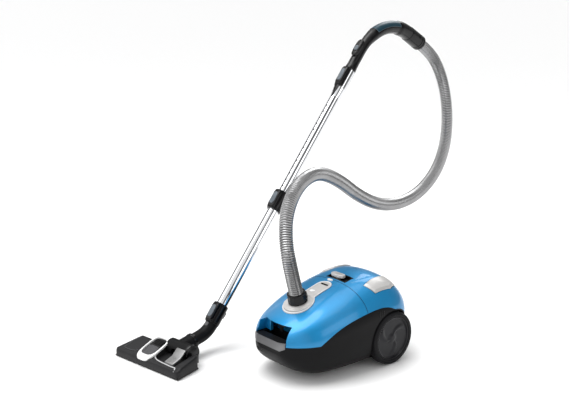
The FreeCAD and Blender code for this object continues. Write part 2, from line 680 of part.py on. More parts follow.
# ================================================================ hose
CUFF = INLET.multiply(at(0, 0, 5.3))
subpart(turned("cuff_turn", [
    ("Sizes.bore_radius - 4", "-Sizes.cuff_spigot"),
    ("Sizes.bore_radius - Sizes.fit_gap", "-Sizes.cuff_spigot"),
    ("Sizes.bore_radius - Sizes.fit_gap", "0"), ("Sizes.cuff_radius", "0"),
    ("Sizes.cuff_radius", "Sizes.cuff_length * 0.6"),
    ("Sizes.cuff_radius - 2", "Sizes.cuff_length"),
    ("Sizes.bore_radius - 4", "Sizes.cuff_length")]), "hose_cuff", CUFF)

# The handle's centre line lies in the wand's own plane: straight on from the inner tube,
# then one wide bend over the top.
LEAN = math.radians(size("wand_lean"))
BEND = size("handle_bend")
TURN = math.radians(90 - size("wand_lean") + size("handle_end_angle"))
BEND_START = size("inner_tube_end") + size("handle_straight")
HANDLE_PLACE = WAND.multiply(at(0, 0, BEND_START))
HANDLE_END = HANDLE_PLACE.multiply(Placement(
    Vector(0, BEND * (1 - math.cos(TURN)), BEND * math.sin(TURN)),
    Rotation(Vector(1, 0, 0), -math.degrees(TURN))))
SWIVEL_END = HANDLE_END.multiply(at(0, 0, size("swivel_length")))

# The hose's inner route points, chosen by hand in the part's own frame. Its two ends are
# the mouths of the cuffs.
HOSE_POINTS = [
    (138, -325.6, 307.7), (120, -324, 376), (97, -300, 446), (67, -232, 501), (34, -132, 516),
    (6, -22, 470), (-23, 91, 397), (-50, 209, 343), (-77, 333, 320), (-105, 457, 329),
    (-136, 573, 373), (-172, 661, 444), (-207, 712, 528), (-236, 732, 615),
    (-257, 722, 696), (-268.7, 682.4, 762.5),
]
HOSE_START = CUFF.multVec(Vector(0, 0, size("cuff_length")))
HOSE_END = SWIVEL_END.multVec(Vector(0, 0, 0))


def rounded_path(points):
    """Straight runs joined by tangent arcs; each arc is as large as its runs allow."""
    edges = []
    radii = []
    previous = points[0]
    for index in range(1, len(points) - 1):
        corner = points[index]
        back = points[index - 1] - corner
        ahead = points[index + 1] - corner
        reach = 0.45 * min(back.Length, ahead.Length)
        turn = math.pi - back.getAngle(ahead)
        radius = reach / math.tan(turn / 2)
        radii.append(radius)
        back.normalize()
        ahead.normalize()
        enter = corner + back * reach
        leave = corner + ahead * reach
        inward = back + ahead
        inward.normalize()
        middle = corner + inward * (radius / math.cos(turn / 2) - radius)
        edges.append(Part.LineSegment(previous, enter).toShape())
        edges.append(Part.Arc(enter, middle, leave).toShape())
        previous = leave
    edges.append(Part.LineSegment(previous, points[-1]).toShape())
    return Part.Wire(edges), radii


def make_hose():
    """Corrugated hose as a plain tube of its outer diameter."""
    points = [HOSE_START] + [Vector(*point) for point in HOSE_POINTS] + [HOSE_END]
    path, radii = rounded_path(points)
    outer = swept(path, size("hose_radius"))
    inner = swept(path, size("hose_radius") - size("hose_wall"))
    tube = outer.cut(inner)
    across = math.pi * (size("hose_radius") ** 2 - (size("hose_radius") - size("hose_wall")) ** 2)
    print("hose length %.0f, tube volume over section times length %.4f" % (
        path.Length, tube.Volume / (across * path.Length)))
    print("hose radii " + ", ".join("%.0f" % radius for radius in radii))
    print("hose ends (%.1f, %.1f, %.1f) (%.1f, %.1f, %.1f)" % (*HOSE_START, *HOSE_END))
    return tube


subpart(solid("hose_shape", make_hose()), "hose")
subpart(turned("swivel_turn", [
    ("Sizes.hose_radius - 3", "0.3"), ("Sizes.swivel_radius", "0.3"),
    ("Sizes.swivel_radius + 2", "Sizes.swivel_length - 22"),
    ("Sizes.swivel_radius + 2", "Sizes.swivel_length - 3"),
    ("Sizes.swivel_radius", "Sizes.swivel_length"),
    ("Sizes.hose_radius - 3", "Sizes.swivel_length")]), "hose_swivel_cuff", HANDLE_END)


# ================================================================ handle
def handle_line(start, turn, shift=0.0):
    """The handle's centre line, moved outwards by a shift, in the handle's frame."""
    radius = BEND + shift
    centre = Vector(0, BEND, 0)
    first = Vector(0, -shift, 0)
    half = turn / 2
    middle = centre + Vector(0, -radius * math.cos(half), radius * math.sin(half))
    last = centre + Vector(0, -radius * math.cos(turn), radius * math.sin(turn))
    edges = []
    if start < 0:
        edges.append(Part.LineSegment(Vector(0, -shift, start), first).toShape())
    edges.append(Part.Arc(first, middle, last).toShape())
    return Part.Wire(edges)


STRAIGHT = size("handle_straight")
SPIGOT = size("handle_spigot")
BORE = size("handle_radius") - size("handle_wall")


def make_handle():
    """Curved handle pipe with a raised pod for the air slider."""
    pipe = swept(handle_line(-STRAIGHT, TURN), size("handle_radius"))
    plug = rod(size("flare_radius") - 1.4, (0, 0, -STRAIGHT - SPIGOT), (0, 0, -STRAIGHT + 2))
    pod = block(-12, 12, -size("handle_radius") - 9, -4, -42, 22)
    pod = pod.makeFillet(5, [edge for edge in pod.Edges if abs(edge.tangentAt(0).y) > 0.9])
    shape = pipe.fuse([plug, pod])
    shape = shape.cut(swept(handle_line(-STRAIGHT - SPIGOT - 1, TURN), BORE))
    deck = -size("handle_radius") - 9
    shape = shape.cut(block(-7.4, 7.4, deck - 1, deck + 4, -34, 16))
    insert = handle_insert(0.25)
    return main_solid(shape.cut(insert))


def handle_insert(grow):
    """Curved grip insert let into the upper side of the bend."""
    radius = BEND + size("handle_radius")
    centre = (0, BEND, 0)
    start = Vector(-12 - grow, BEND, 0)
    skin = Part.makeCylinder(radius + 0.8, 24 + 2 * grow, start, Vector(1, 0, 0))
    skin = skin.cut(Part.makeCylinder(radius - 2.2 - grow, 30, Vector(-15, BEND, 0), Vector(1, 0, 0)))
    first = math.radians(20) - grow / radius
    last = TURN - math.radians(3) + grow / radius
    reach = 2 * radius
    wedge = [Vector(-20, BEND, 0)]
    for angle in (first, (first + last) / 2, last):
        wedge.append(Vector(-20, BEND - reach * math.cos(angle), reach * math.sin(angle)))
    wedge.append(wedge[0])
    sector = Part.Face(Part.makePolygon(wedge)).extrude(Vector(40, 0, 0))
    return main_solid(skin.common(sector))


subpart(solid("handle_shape", make_handle()), "handle_pipe", HANDLE_PLACE)
subpart(solid("insert_shape", handle_insert(0)), "grip_insert", HANDLE_PLACE)
slider_pad = box("air_slider_pad", "-7", "-Sizes.handle_radius - 12", "-32", "14", "6.5", "30")
in_frame(slider_pad, "air_slider", HANDLE_PLACE)

# ================================================================ wand
subpart(turned("inner_tube_turn", [
    ("Sizes.inner_tube_radius - Sizes.tube_wall", "Sizes.inner_tube_start"),
    ("Sizes.inner_tube_radius", "Sizes.inner_tube_start"),
    ("Sizes.inner_tube_radius", "Sizes.flare_start"),
    ("Sizes.flare_radius", "Sizes.flare_full"),
    ("Sizes.flare_radius", "Sizes.inner_tube_end - 0.3"),
    ("Sizes.flare_radius - Sizes.tube_wall", "Sizes.inner_tube_end - 0.3"),
    ("Sizes.flare_radius - Sizes.tube_wall", "Sizes.flare_full"),
    ("Sizes.inner_tube_radius - Sizes.tube_wall", "Sizes.flare_start")]), "inner_tube", WAND)
subpart(ring("outer_tube_turn", "Sizes.outer_tube_radius - Sizes.tube_wall",
             "Sizes.outer_tube_radius", "0", "Sizes.outer_tube_length"), "outer_tube", WAND)


def pod_on_tube(name, low, high, inner, outer, half, top, pocket):
    """A saddle on the upper side of a tube, with a pocket for a button."""
    saddle = box(name + "_saddle", "-(%s)" % half, "-(%s)" % top, low, "2 * (%s)" % half,
                 "%s" % top, "(%s) - (%s)" % (high, low))
    sleeve = cylinder(name + "_barrel", outer, "(%s) - (%s)" % (high, low))
    sleeve.setExpression("Placement.Base.z", low)
    bore = cylinder(name + "_bore", inner, "(%s) - (%s) + 40" % (high, low))
    bore.setExpression("Placement.Base.z", "(%s) - 20" % low)
    tools = [bore]
    if pocket:
        hollow = box(name + "_pocket", "-(%s) + 2.6" % half, "-(%s) - 1" % top, "(%s) + 8" % low,
                     "2 * (%s) - 5.2" % half, "6.5", "(%s) - (%s) - 16" % (high, low))
        tools.append(hollow)
    return cut(name, fuse(name + "_block", saddle, sleeve), *tools)


def pod_button(name, low, high, half, top):
    """The button that fills a saddle's pocket, a little proud."""
    return box(name, "-(%s) + 3" % half, "-(%s) - 2.5" % top, "(%s) + 8.4" % low,
               "2 * (%s) - 6" % half, "4.6", "(%s) - (%s) - 16.8" % (high, low))


ADJUSTER = ("Sizes.adjuster_start", "Sizes.adjuster_start + Sizes.adjuster_length")
subpart(pod_on_tube("adjuster", *ADJUSTER, "Sizes.outer_tube_radius + 0.2",
                    "Sizes.adjuster_radius", "12", "Sizes.adjuster_radius + 6", True),
        "adjuster_sleeve", WAND)
in_frame(pod_button("adjuster_key", *ADJUSTER, "12", "Sizes.adjuster_radius + 6"),
         "adjuster_button", WAND)
CLIP = ("Sizes.flare_full + 4", "Sizes.inner_tube_end + 2")
subpart(pod_on_tube("clip", *CLIP, "Sizes.flare_radius + 0.2", "Sizes.flare_radius + 2.4", "11",
                    "Sizes.flare_radius + 8", True), "handle_clip", WAND)
in_frame(pod_button("clip_key", *CLIP, "11", "Sizes.flare_radius + 8"), "handle_release", WAND)
FOOT = ("14 - Sizes.connector_length", "14")
foot_sleeve = pod_on_tube("foot", *FOOT, "Sizes.outer_tube_radius + 0.2",
                          "Sizes.connector_radius", "12", "Sizes.connector_radius + 6", True)
foot_hook = box("foot_hook", "-6", "Sizes.connector_radius - 2", "-20", "12", "12", "8")
foot_lip = box("foot_lip", "-6", "Sizes.connector_radius + 7", "-20", "12", "3", "26")
subpart(fuse("foot_body", foot_sleeve, foot_hook, foot_lip), "wand_connector", WAND)
in_frame(pod_button("foot_key", *FOOT, "12", "Sizes.connector_radius + 6"),
         "floor_head_release", WAND)


# ================================================================ elbow and neck
def elbow_line():
    """Centre line of the elbow in the tool frame, from the neck's mouth to the wand."""
    rise = math.radians(size("neck_rise"))
    along = Vector(0, math.cos(rise), math.sin(rise))
    up = Vector(0, math.sin(LEAN), math.cos(LEAN))
    start = Vector(size("wand_side"), size("drum_back"), size("drum_up"))
    foot = Vector(size("wand_side"), size("wand_foot_back"), size("wand_foot_up"))
    across = foot - start
    bend = along.getAngle(up)
    reach = (across.y * up.z - across.z * up.y) / (along.y * up.z - along.z * up.y)
    corner = start + along * reach
    cut_back = size("elbow_bend") * math.tan(bend / 2)
    enter = corner - along * cut_back
    leave = corner + up * cut_back
    inward = up - along
    inward.normalize()
    middle = corner + inward * (size("elbow_bend") / math.cos(bend / 2) - size("elbow_bend"))
    return start, along, up, foot, enter, middle, leave


def make_elbow():
    """Bent pipe from the neck up into the foot of the wand."""
    start, along, up, foot, enter, middle, leave = elbow_line()
    mouth = start + along * (size("neck_length") + 0.6)
    end = foot - up * (size("connector_length") - 14 + 0.6)
    arc = Part.Arc(enter, middle, leave).toShape()
    pipe = swept(Part.Wire([Part.LineSegment(mouth, enter).toShape(), arc,
                            Part.LineSegment(leave, end).toShape()]), size("elbow_radius"))
    tip = foot - up * 0.6
    plug_start = start + along * (size("neck_length") - 26)
    plug_radius = size("outer_tube_radius") - 0.3
    plug = rod(plug_radius, tuple(end - up * 2), tuple(tip))
    spigot = rod(size("neck_radius") - 4.3, tuple(plug_start), tuple(mouth + along * 2))
    shape = pipe.fuse([plug, spigot])
    bore = swept(Part.Wire([Part.LineSegment(plug_start - along, enter).toShape(), arc,
                            Part.LineSegment(leave, tip + up).toShape()]),
                 size("neck_radius") - 7)
    return main_solid(shape.cut(bore))


subpart(solid("elbow_shape", make_elbow()), "elbow", TOOL)

neck_pipe = cylinder("neck_pipe", "Sizes.neck_radius", "Sizes.neck_length", NECK)
neck_drum = cylinder("neck_drum", "Sizes.drum_radius", "Sizes.drum_right - Sizes.drum_left - 1",
                     DRUM.multiply(at(size("drum_left") + 0.5, 0, 0, (0, 1, 0), 90)))
neck_bore = cylinder("neck_bore", "Sizes.neck_radius - 4", "Sizes.neck_length", NECK)
neck_duct = cylinder("neck_duct", "Sizes.drum_radius - 5", "Sizes.drum_right - Sizes.drum_left - 7",
                     DRUM.multiply(at(size("drum_left") + 3.5, 0, 0, (0, 1, 0), 90)))
neck_mouth = cylinder("neck_mouth", "12", "40",
                      DRUM.multiply(at(size("wand_side"), 0, 0, (1, 0, 0), 105)))
pin_bore = cylinder("pin_bore", "5 + Sizes.running_gap", "200",
                    DRUM.multiply(at(-60, 0, 0, (0, 1, 0), 90)))
subpart(cut("neck_body", fuse("neck_block", neck_pipe, neck_drum), neck_bore, neck_duct,
            neck_mouth, pin_bore), "neck")


# ================================================================ floor head
def make_head_cover():
    """Moulded cover: low deck, raised middle and the cheeks that hold the drum."""
    half = size("head_width") / 2
    rear_half = size("head_rear_width") / 2
    depth = size("head_depth")
    base = size("head_lift") + size("sole_thickness") + 0.3
    front = size("head_front_height")
    back = size("head_rear_height")
    side = [(0, base), (0, 14), (9, front), (depth - 6, back), (depth, back - 8), (depth, base)]
    points = [Vector(-half, y, z) for y, z in side]
    deck = Part.Face(Part.makePolygon(points + [points[0]])).extrude(Vector(2 * half, 0, 0))
    plan = plan_prism([(-half, -1), (half, -1), (rear_half, depth + 1), (-rear_half, depth + 1)], 0, 99)
    deck = deck.common(plan)
    upright = [edge for edge in deck.Edges if abs(edge.tangentAt(edge.FirstParameter).z) > 0.99]
    deck = deck.makeFillet(6, upright)
    left = -size("hump_left")
    right = size("hump_right")
    peak = size("hump_height")
    hump_side = [(4, 12), (6, front + 2), (depth - 4, peak), (depth + 16, peak - 2),
                 (depth + 24, peak - 16), (depth + 24, base + 6), (depth - 2, base)]
    points = [Vector(left, y, z) for y, z in hump_side]
    hump = Part.Face(Part.makePolygon(points + [points[0]])).extrude(Vector(right - left, 0, 0))
    cheek_x = size("drum_right") + 0.5
    cheek = rod(size("drum_radius") + 2, (cheek_x, size("drum_back"), size("drum_up")),
                (cheek_x + 12, size("drum_back"), size("drum_up")))
    cheek = cheek.fuse(block(cheek_x, cheek_x + 12, 60, 110, base, size("drum_up")))
    shape = deck.fuse([hump, cheek])
    inner = [(3, base - 1), (3, 13), (11, front - 3), (depth - 8, back - 3),
             (depth - 3, back - 10), (depth - 3, base - 1)]
    points = [Vector(-half + 3, y, z) for y, z in inner]
    hollow = Part.Face(Part.makePolygon(points + [points[0]])).extrude(Vector(2 * half - 6, 0, 0))
    hollow = hollow.common(plan_prism([(3 - half, 0), (half - 3, 0), (rear_half - 3, depth),
                                       (3 - rear_half, depth)], 0, 99))
    shape = shape.cut(hollow)
    drum_gap = size("drum_radius") + 1.5
    tools = [
        block(size("drum_left"), cheek_x, size("drum_back") - drum_gap, 200, -5, 99),
        block(size("pedal_left") - 6, size("pedal_right") + 6, 14, 90, base + 7, 99),
        rod(5.1, (cheek_x - 1, size("drum_back"), size("drum_up")),
            (cheek_x + 8, size("drum_back"), size("drum_up"))),
        rod(5.1, (size("drum_left") - 8, size("drum_back"), size("drum_up")),
            (size("drum_left") + 1, size("drum_back"), size("drum_up"))),
        block(left + 9, right - 9, 22, depth - 14, front + 3, 99),
    ]
    for tool in tools:
        shape = shape.cut(tool)
    return main_solid(shape)


def make_sole_plate():
    """Flat sole with the suction mouth and slots for the brush strips."""
    half = size("head_width") / 2 - 1
    rear_half = size("head_rear_width") / 2 - 1
    low = size("head_lift")
    high = low + size("sole_thickness")
    plate = plan_prism([(-half, 1), (half, 1), (rear_half, size("head_depth") - 1),
                        (-rear_half, size("head_depth") - 1)], low, high)
    plate = plate.cut(block(size("drum_left") - 0.5, size("drum_right") + 1, 67, 200, 0, 20))
    for y in (12, 58):
        plate = plate.cut(block(-half + 14, half - 20, y, y + 6, 0, 20))
    plate = plate.cut(block(-60, 60, 30, 48, 0, 20))
    for side in (-1, 1):
        plate = plate.cut(block(side * 100 - 9, side * 100 + 9, 68, 86, 0, 20))
    return main_solid(plate)


def make_brush_strips():
    """Two bristle strips on a carrier inside the head."""
    half = size("head_width") / 2
    strips = [block(-half + 16, half - 22, y + 0.5, y + 5.5, 0, 8) for y in (12, 58)]
    low = size("head_lift") + size("sole_thickness") + 0.5
    ties = [block(x, x + 4, 13, 63, low, 8) for x in (-98, 92)]
    return strips[0].fuse(strips[1:] + ties)


def make_ring_trim():
    """White frame round the bumper window on the raised middle."""
    left = -size("hump_left")
    right = size("hump_right")
    rise = (size("hump_height") - size("head_front_height") - 2) / (size("head_depth") - 10)
    frame = block(left - 1, right + 1, 1, size("head_depth") - 6, 0, 90)
    window = block(left + 8, right - 8, 18, size("head_depth") - 14, 0, 90)
    low = size("head_front_height") + 2.4
    profile = [(-10, low - 16 * rise), (200, low + 194 * rise), (200, low + 194 * rise + 3),
               (-10, low - 16 * rise + 3)]
    points = [Vector(-90, y, z) for y, z in profile]
    sheet_body = Part.Face(Part.makePolygon(points + [points[0]])).extrude(Vector(180, 0, 0))
    return main_solid(sheet_body.common(frame).cut(window))


def make_window_insert():
    """Grey insert seated in the window."""
    left = -size("hump_left")
    right = size("hump_right")
    return block(left + 9.5, right - 9.5, 22.5, size("head_depth") - 14.5, size("head_front_height") + 3.3,
                 size("head_front_height") + 9)


def make_head_pedal():
    """Two-facet foot pedal that lifts the brush strips."""
    left = size("pedal_left")
    right = size("pedal_right")
    side = [(18, 31), (36, 37), (62, 54), (64, 50), (38, 32), (19, 27)]
    points = [Vector(left, y, z) for y, z in side]
    return Part.Face(Part.makePolygon(points + [points[0]])).extrude(Vector(right - left, 0, 0))


subpart(solid("head_cover_shape", make_head_cover()), "head_cover", TOOL)
subpart(solid("sole_plate_shape", make_sole_plate()), "sole_plate", TOOL)
subpart(solid("brush_strips_shape", make_brush_strips()), "brush_strips", TOOL)
subpart(solid("ring_trim_shape", make_ring_trim()), "ring_trim", TOOL)
subpart(solid("window_insert_shape", make_window_insert()), "window_insert", TOOL)
subpart(solid("head_pedal_shape", make_head_pedal()), "brush_pedal", TOOL)
tilt_pins = []
for low, high in ((size("drum_left") - 7, size("drum_left") + 3),
                  (size("drum_right") - 3, size("drum_right") + 7)):
    tilt_pins.append(cylinder("tilt_pin_%d" % low, "5", "%g" % (high - low),
                              DRUM.multiply(at(low, 0, 0, (0, 1, 0), 90))))
subpart(group("tilt_pin_pair", *tilt_pins), "tilt_pins")
head_rollers = []
for side in (-1, 1):
    head_rollers.append(cylinder("head_roller_%d" % side, "6", "12",
                                 at(side * 100 - 6, 77, 6, (0, 1, 0), 90)))
subpart(group("head_roller_pair", *head_rollers), "head_rollers", TOOL)

# ================================================================ check and export
doc.recompute()
for item in doc.Objects:
    for state in item.State:
        if state in ("Invalid", "Error"):
            raise RuntimeError("%s is %s" % (item.Name, state))
os.makedirs("parts", exist_ok=True)
for piece in SUBPARTS:
    if piece.Shape.isNull() or not piece.Shape.isValid():
        raise RuntimeError("%s has no valid shape" % piece.Label)
    piece.Shape.exportStep("parts/%s.step" % piece.Label)
print("%d sub-parts written" % len(SUBPARTS))
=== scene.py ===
"""Looks of a canister vacuum cleaner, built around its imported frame."""
import json
import logging
import math
from dataclasses import dataclass
from enum import Enum
from math import cos, pi, radians, sin
from typing import Callable, Iterable, Sequence

import bmesh
import bpy
from bpy.types import Mesh, NodeSocket, NodeTree, Object
from mathutils import Matrix, Vector
from mathutils.bvhtree import BVHTree


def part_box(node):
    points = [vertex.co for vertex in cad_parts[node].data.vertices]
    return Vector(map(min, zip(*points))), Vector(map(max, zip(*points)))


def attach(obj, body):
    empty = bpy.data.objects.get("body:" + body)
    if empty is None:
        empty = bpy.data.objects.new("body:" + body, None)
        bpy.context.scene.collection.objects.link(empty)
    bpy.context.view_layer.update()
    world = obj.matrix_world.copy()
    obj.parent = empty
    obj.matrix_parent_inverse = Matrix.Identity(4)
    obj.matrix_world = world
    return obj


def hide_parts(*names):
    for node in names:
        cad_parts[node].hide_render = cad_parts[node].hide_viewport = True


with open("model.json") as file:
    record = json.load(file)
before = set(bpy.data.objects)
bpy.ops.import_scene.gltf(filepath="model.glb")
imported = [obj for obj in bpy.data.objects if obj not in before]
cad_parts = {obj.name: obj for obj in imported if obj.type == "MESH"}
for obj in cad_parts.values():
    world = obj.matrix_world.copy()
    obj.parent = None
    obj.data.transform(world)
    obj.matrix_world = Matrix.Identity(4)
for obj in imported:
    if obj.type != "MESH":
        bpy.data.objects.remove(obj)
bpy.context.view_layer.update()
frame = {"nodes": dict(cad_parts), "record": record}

MM = 0.001
LOG = logging.getLogger("canister_vacuum")
Point = tuple[float, float, float]
Outline = Sequence[tuple[float, float]]


# ------------------------------------------------------------------ points
def mm(x: float, y: float, z: float) -> Vector:
    """Return the vector, in metres, of three values in millimetres."""
    return Vector((x * MM, y * MM, z * MM))


def spun(frame_in: Matrix, radius: float, turn: float, height: float) -> Vector:
    """Return a frame's point at a radius and height in millimetres and an angle."""
    return frame_in @ mm(radius * cos(turn), radius * sin(turn), height)


def squared(share: float, power: float) -> float:
    """Raise a sine or cosine to a power and keep its sign, for squarish outlines."""
    return math.copysign(abs(share) ** power, share)


# ------------------------------------------------------------------ finishes
@dataclass(frozen=True)
class Finish:
    """A surface finish: one procedural material, made once and then shared.

    Args:
        title: Name of the material.
        slot: The record's material slot for what wears it.
        colour: Base colour, linear RGB.
        roughness: Mean roughness.
        metallic: Metal share of the base.
        coat: Weight of a clear coat.
        tint_spread: How far the colour drifts between lighter and darker.
        grain_size: Size of the surface grain in millimetres.
        grain_depth: Strength of the grain's relief.
        sheen: Weight of a soft sheen.
        specular: Strength of the plain surface reflection.
    """

    title: str
    slot: str
    colour: Point
    roughness: float = 0.4
    metallic: float = 0.0
    coat: float = 0.0
    tint_spread: float = 0.06
    grain_size: float = 1.2
    grain_depth: float = 0.05
    sheen: float = 0.0
    specular: float = 0.5

    def material(self) -> bpy.types.Material:
        """Return the finish's material, making it on first use."""
        found = bpy.data.materials.get(self.title)
        if found:
            return found
        made = bpy.data.materials.new(self.title)
        made.use_nodes = True
        made.diffuse_color = (*self.colour, 1.0)
        self.wire(made.node_tree)
        return made

    def wire(self, tree: NodeTree) -> None:
        """Wire colour drift, roughness drift and grain into the shader.

        Args:
            tree: The material's node tree, holding only its defaults.
        """
        shader = tree.nodes["Principled BSDF"]
        shader.inputs["Metallic"].default_value = self.metallic
        shader.inputs["Coat Weight"].default_value = self.coat
        shader.inputs["Coat Roughness"].default_value = 0.06
        shader.inputs["Sheen Weight"].default_value = self.sheen
        shader.inputs["Specular IOR Level"].default_value = self.specular
        place = tree.nodes.new("ShaderNodeTexCoord").outputs["Object"]
        drift = noise(tree, place, 22.0, 3.0)
        grain = noise(tree, place, 1.0 / (self.grain_size * MM), 4.0)
        darker = tuple(part * (1 - self.tint_spread) for part in self.colour)
        lighter = tuple(min(1.0, part * (1 + self.tint_spread)) for part in self.colour)
        tint = ramp(tree, drift, ((0.3, darker), (0.7, lighter)))
        tree.links.new(tint, shader.inputs["Base Color"])
        rough = spread(tree, drift, self.roughness * 0.88, self.roughness * 1.14)
        tree.links.new(rough, shader.inputs["Roughness"])
        if self.grain_depth > 0:
            relief = bump(tree, grain, self.grain_depth, 0.00012)
            tree.links.new(relief, shader.inputs["Normal"])


def noise(tree: NodeTree, place: NodeSocket, scale: float, detail: float) -> NodeSocket:
    """Add a noise texture and return its factor socket."""
    node = tree.nodes.new("ShaderNodeTexNoise")
    node.inputs["Scale"].default_value = scale
    node.inputs["Detail"].default_value = detail
    tree.links.new(place, node.inputs["Vector"])
    return node.outputs["Fac"]


def ramp(tree: NodeTree, source: NodeSocket, stops: Iterable[tuple[float, Point]]) -> NodeSocket:
    """Add a colour ramp with the given stops and return its colour socket."""
    node = tree.nodes.new("ShaderNodeValToRGB")
    elements = node.color_ramp.elements
    for index, (position, colour) in enumerate(stops):
        element = elements[index] if index < 2 else elements.new(position)
        element.position = position
        element.color = (*colour, 1.0)
    tree.links.new(source, node.inputs["Fac"])
    return node.outputs["Color"]


def spread(tree: NodeTree, source: NodeSocket, low: float, high: float) -> NodeSocket:
    """Map a 0 to 1 socket on to a range and return the result socket."""
    node = tree.nodes.new("ShaderNodeMapRange")
    node.inputs["To Min"].default_value = low
    node.inputs["To Max"].default_value = high
    tree.links.new(source, node.inputs["Value"])
    return node.outputs["Result"]


def bump(tree: NodeTree, height: NodeSocket, strength: float, distance: float) -> NodeSocket:
    """Add a bump node and return its normal socket."""
    node = tree.nodes.new("ShaderNodeBump")
    node.inputs["Strength"].default_value = strength
    node.inputs["Distance"].default_value = distance
    tree.links.new(height, node.inputs["Height"])
    return node.outputs["Normal"]


@dataclass(frozen=True)
class MetallicLacquer(Finish):
    """Clear-coated lacquer with fine metal flake."""

    flake_size: float = 0.5

    def wire(self, tree: NodeTree) -> None:
        """Wire the base drift, then scatter bright flakes under the coat."""
        super().wire(tree)
        shader = tree.nodes["Principled BSDF"]
        place = tree.nodes.new("ShaderNodeTexCoord").outputs["Object"]
        cells = tree.nodes.new("ShaderNodeTexVoronoi")
        cells.inputs["Scale"].default_value = 1.0 / (self.flake_size * MM)
        tree.links.new(place, cells.inputs["Vector"])
        relief = bump(tree, cells.outputs["Distance"], 0.035, 0.0001)
        tree.links.new(relief, shader.inputs["Normal"])


@dataclass(frozen=True)
class Brushed(Finish):
    """Metal with fine streaks round or along it."""

    streak: Point = (1.0, 1.0, 40.0)

    def wire(self, tree: NodeTree) -> None:
        """Wire the base drift and add stretched streaks to the roughness."""
        super().wire(tree)
        shader = tree.nodes["Principled BSDF"]
        mapping = tree.nodes.new("ShaderNodeMapping")
        mapping.inputs["Scale"].default_value = self.streak
        place = tree.nodes.new("ShaderNodeTexCoord").outputs["Object"]
        tree.links.new(place, mapping.inputs["Vector"])
        streaks = noise(tree, mapping.outputs["Vector"], 30.0, 5.0)
        rough = spread(tree, streaks, self.roughness * 0.7, self.roughness * 1.4)
        tree.links.new(rough, shader.inputs["Roughness"])


BLUE = MetallicLacquer("azure_lacquer", "blue_shell", (0.002, 0.215, 0.47), roughness=0.42,
    metallic=0.5, coat=0.45, tint_spread=0.05)
CHARCOAL = Finish("charcoal_plastic", "charcoal", (0.006, 0.006, 0.0065), roughness=0.42, specular=0.10,
    grain_depth=0.12)
RIM = Finish("rim_grey", "grey_button", (0.50, 0.50, 0.51), roughness=0.3, coat=0.2)
# Darker, duller copy of the blue lacquer for the walls inside the front grip's recess: painted shade of
# the recess.
BLUE_PAINTED_SHADE = Finish("azure_painted_shade", "blue_shell", (0.003, 0.17, 0.42), roughness=0.35, coat=0.3)
HEAD = Finish("head_plastic", "charcoal", (0.014, 0.014, 0.015), roughness=0.4, grain_depth=0.15,
    specular=0.2)
HUB = Finish("hub_plastic", "charcoal", (0.010, 0.010, 0.012), roughness=0.3, metallic=0.1, coat=0.03,
    specular=0.2)
BAND = MetallicLacquer("band_silver", "silver", (0.16, 0.16, 0.165), roughness=0.34, metallic=0.6,
    coat=0.3)
PEDAL_GREY = MetallicLacquer("pedal_silver", "silver", (0.24, 0.24, 0.24), roughness=0.36, metallic=0.6)
GREY_DARK = Finish("studded_grey", "grey_button", (0.075, 0.075, 0.08), roughness=0.4, grain_depth=0.15,
    specular=0.3)
BLACK = Finish("black_plastic", "black_gloss", (0.002, 0.002, 0.0025), roughness=0.26, coat=0.05,
    specular=0.25)
SILVER = MetallicLacquer("silver_lacquer", "silver", (0.53, 0.52, 0.51), roughness=0.36, metallic=0.35,
    coat=0.3, tint_spread=0.03)
WHITE = Finish("white_gloss", "white_trim", (0.80, 0.80, 0.80), roughness=0.18, coat=0.5,
    tint_spread=0.02)
TYRE = Finish("tyre_rubber", "tyre", (0.008, 0.008, 0.009), roughness=0.5, grain_size=0.8,
    grain_depth=0.3, specular=0.12)
RUBBER = Finish("soft_rubber", "rubber", (0.014, 0.014, 0.015), roughness=0.6, grain_depth=0.2)
CHROME = Brushed("polished_chrome", "chrome", (0.80, 0.81, 0.83), roughness=0.07, metallic=1.0,
    tint_spread=0.02, grain_depth=0.0)
STEEL = Brushed("turned_steel", "steel", (0.50, 0.50, 0.52), roughness=0.28, metallic=1.0,
    grain_depth=0.0)
HOSE = Finish("hose_vinyl", "hose_grey", (0.30, 0.30, 0.303), roughness=0.22, metallic=0.85,
    tint_spread=0.08, grain_depth=0.1)
TEAL = Finish("teal_gloss", "teal_insert", (0.006, 0.034, 0.052), roughness=0.34, coat=0.08,
    specular=0.3)
GREY = Finish("button_grey", "grey_button", (0.115, 0.135, 0.155), roughness=0.4, specular=0.3)
HOUSING = Finish("housing_plastic", "housing_grey", (0.16, 0.16, 0.17), roughness=0.5, grain_depth=0.15)
FLEECE = Finish("filter_fleece", "paper", (0.62, 0.55, 0.42), roughness=0.9, grain_size=0.6,
    grain_depth=0.6, sheen=0.3)
BOARD = Finish("board_green", "board", (0.01, 0.10, 0.04), roughness=0.35)
BRISTLE = Finish("brush_bristle", "bristle", (0.03, 0.03, 0.03), roughness=0.7, grain_depth=0.4)
CAST = Finish("cast_aluminium", "aluminium", (0.52, 0.52, 0.54), roughness=0.4, metallic=1.0,
    grain_depth=0.2)

SLOT_FINISH: dict[str, Finish] = {finish.slot: finish for finish in (BLUE, CHARCOAL, BLACK, SILVER,
    RUBBER, TYRE, CHROME, STEEL, HOSE, TEAL, GREY, WHITE, FLEECE, BOARD, BRISTLE, HOUSING, CAST)}


# ------------------------------------------------------------------ mesh tools
def put(name: str, data: bpy.types.ID) -> Object:
    """Put a new object that holds some data into the scene."""
    made = bpy.data.objects.new(name, data)
    bpy.context.scene.collection.objects.link(made)
    return made


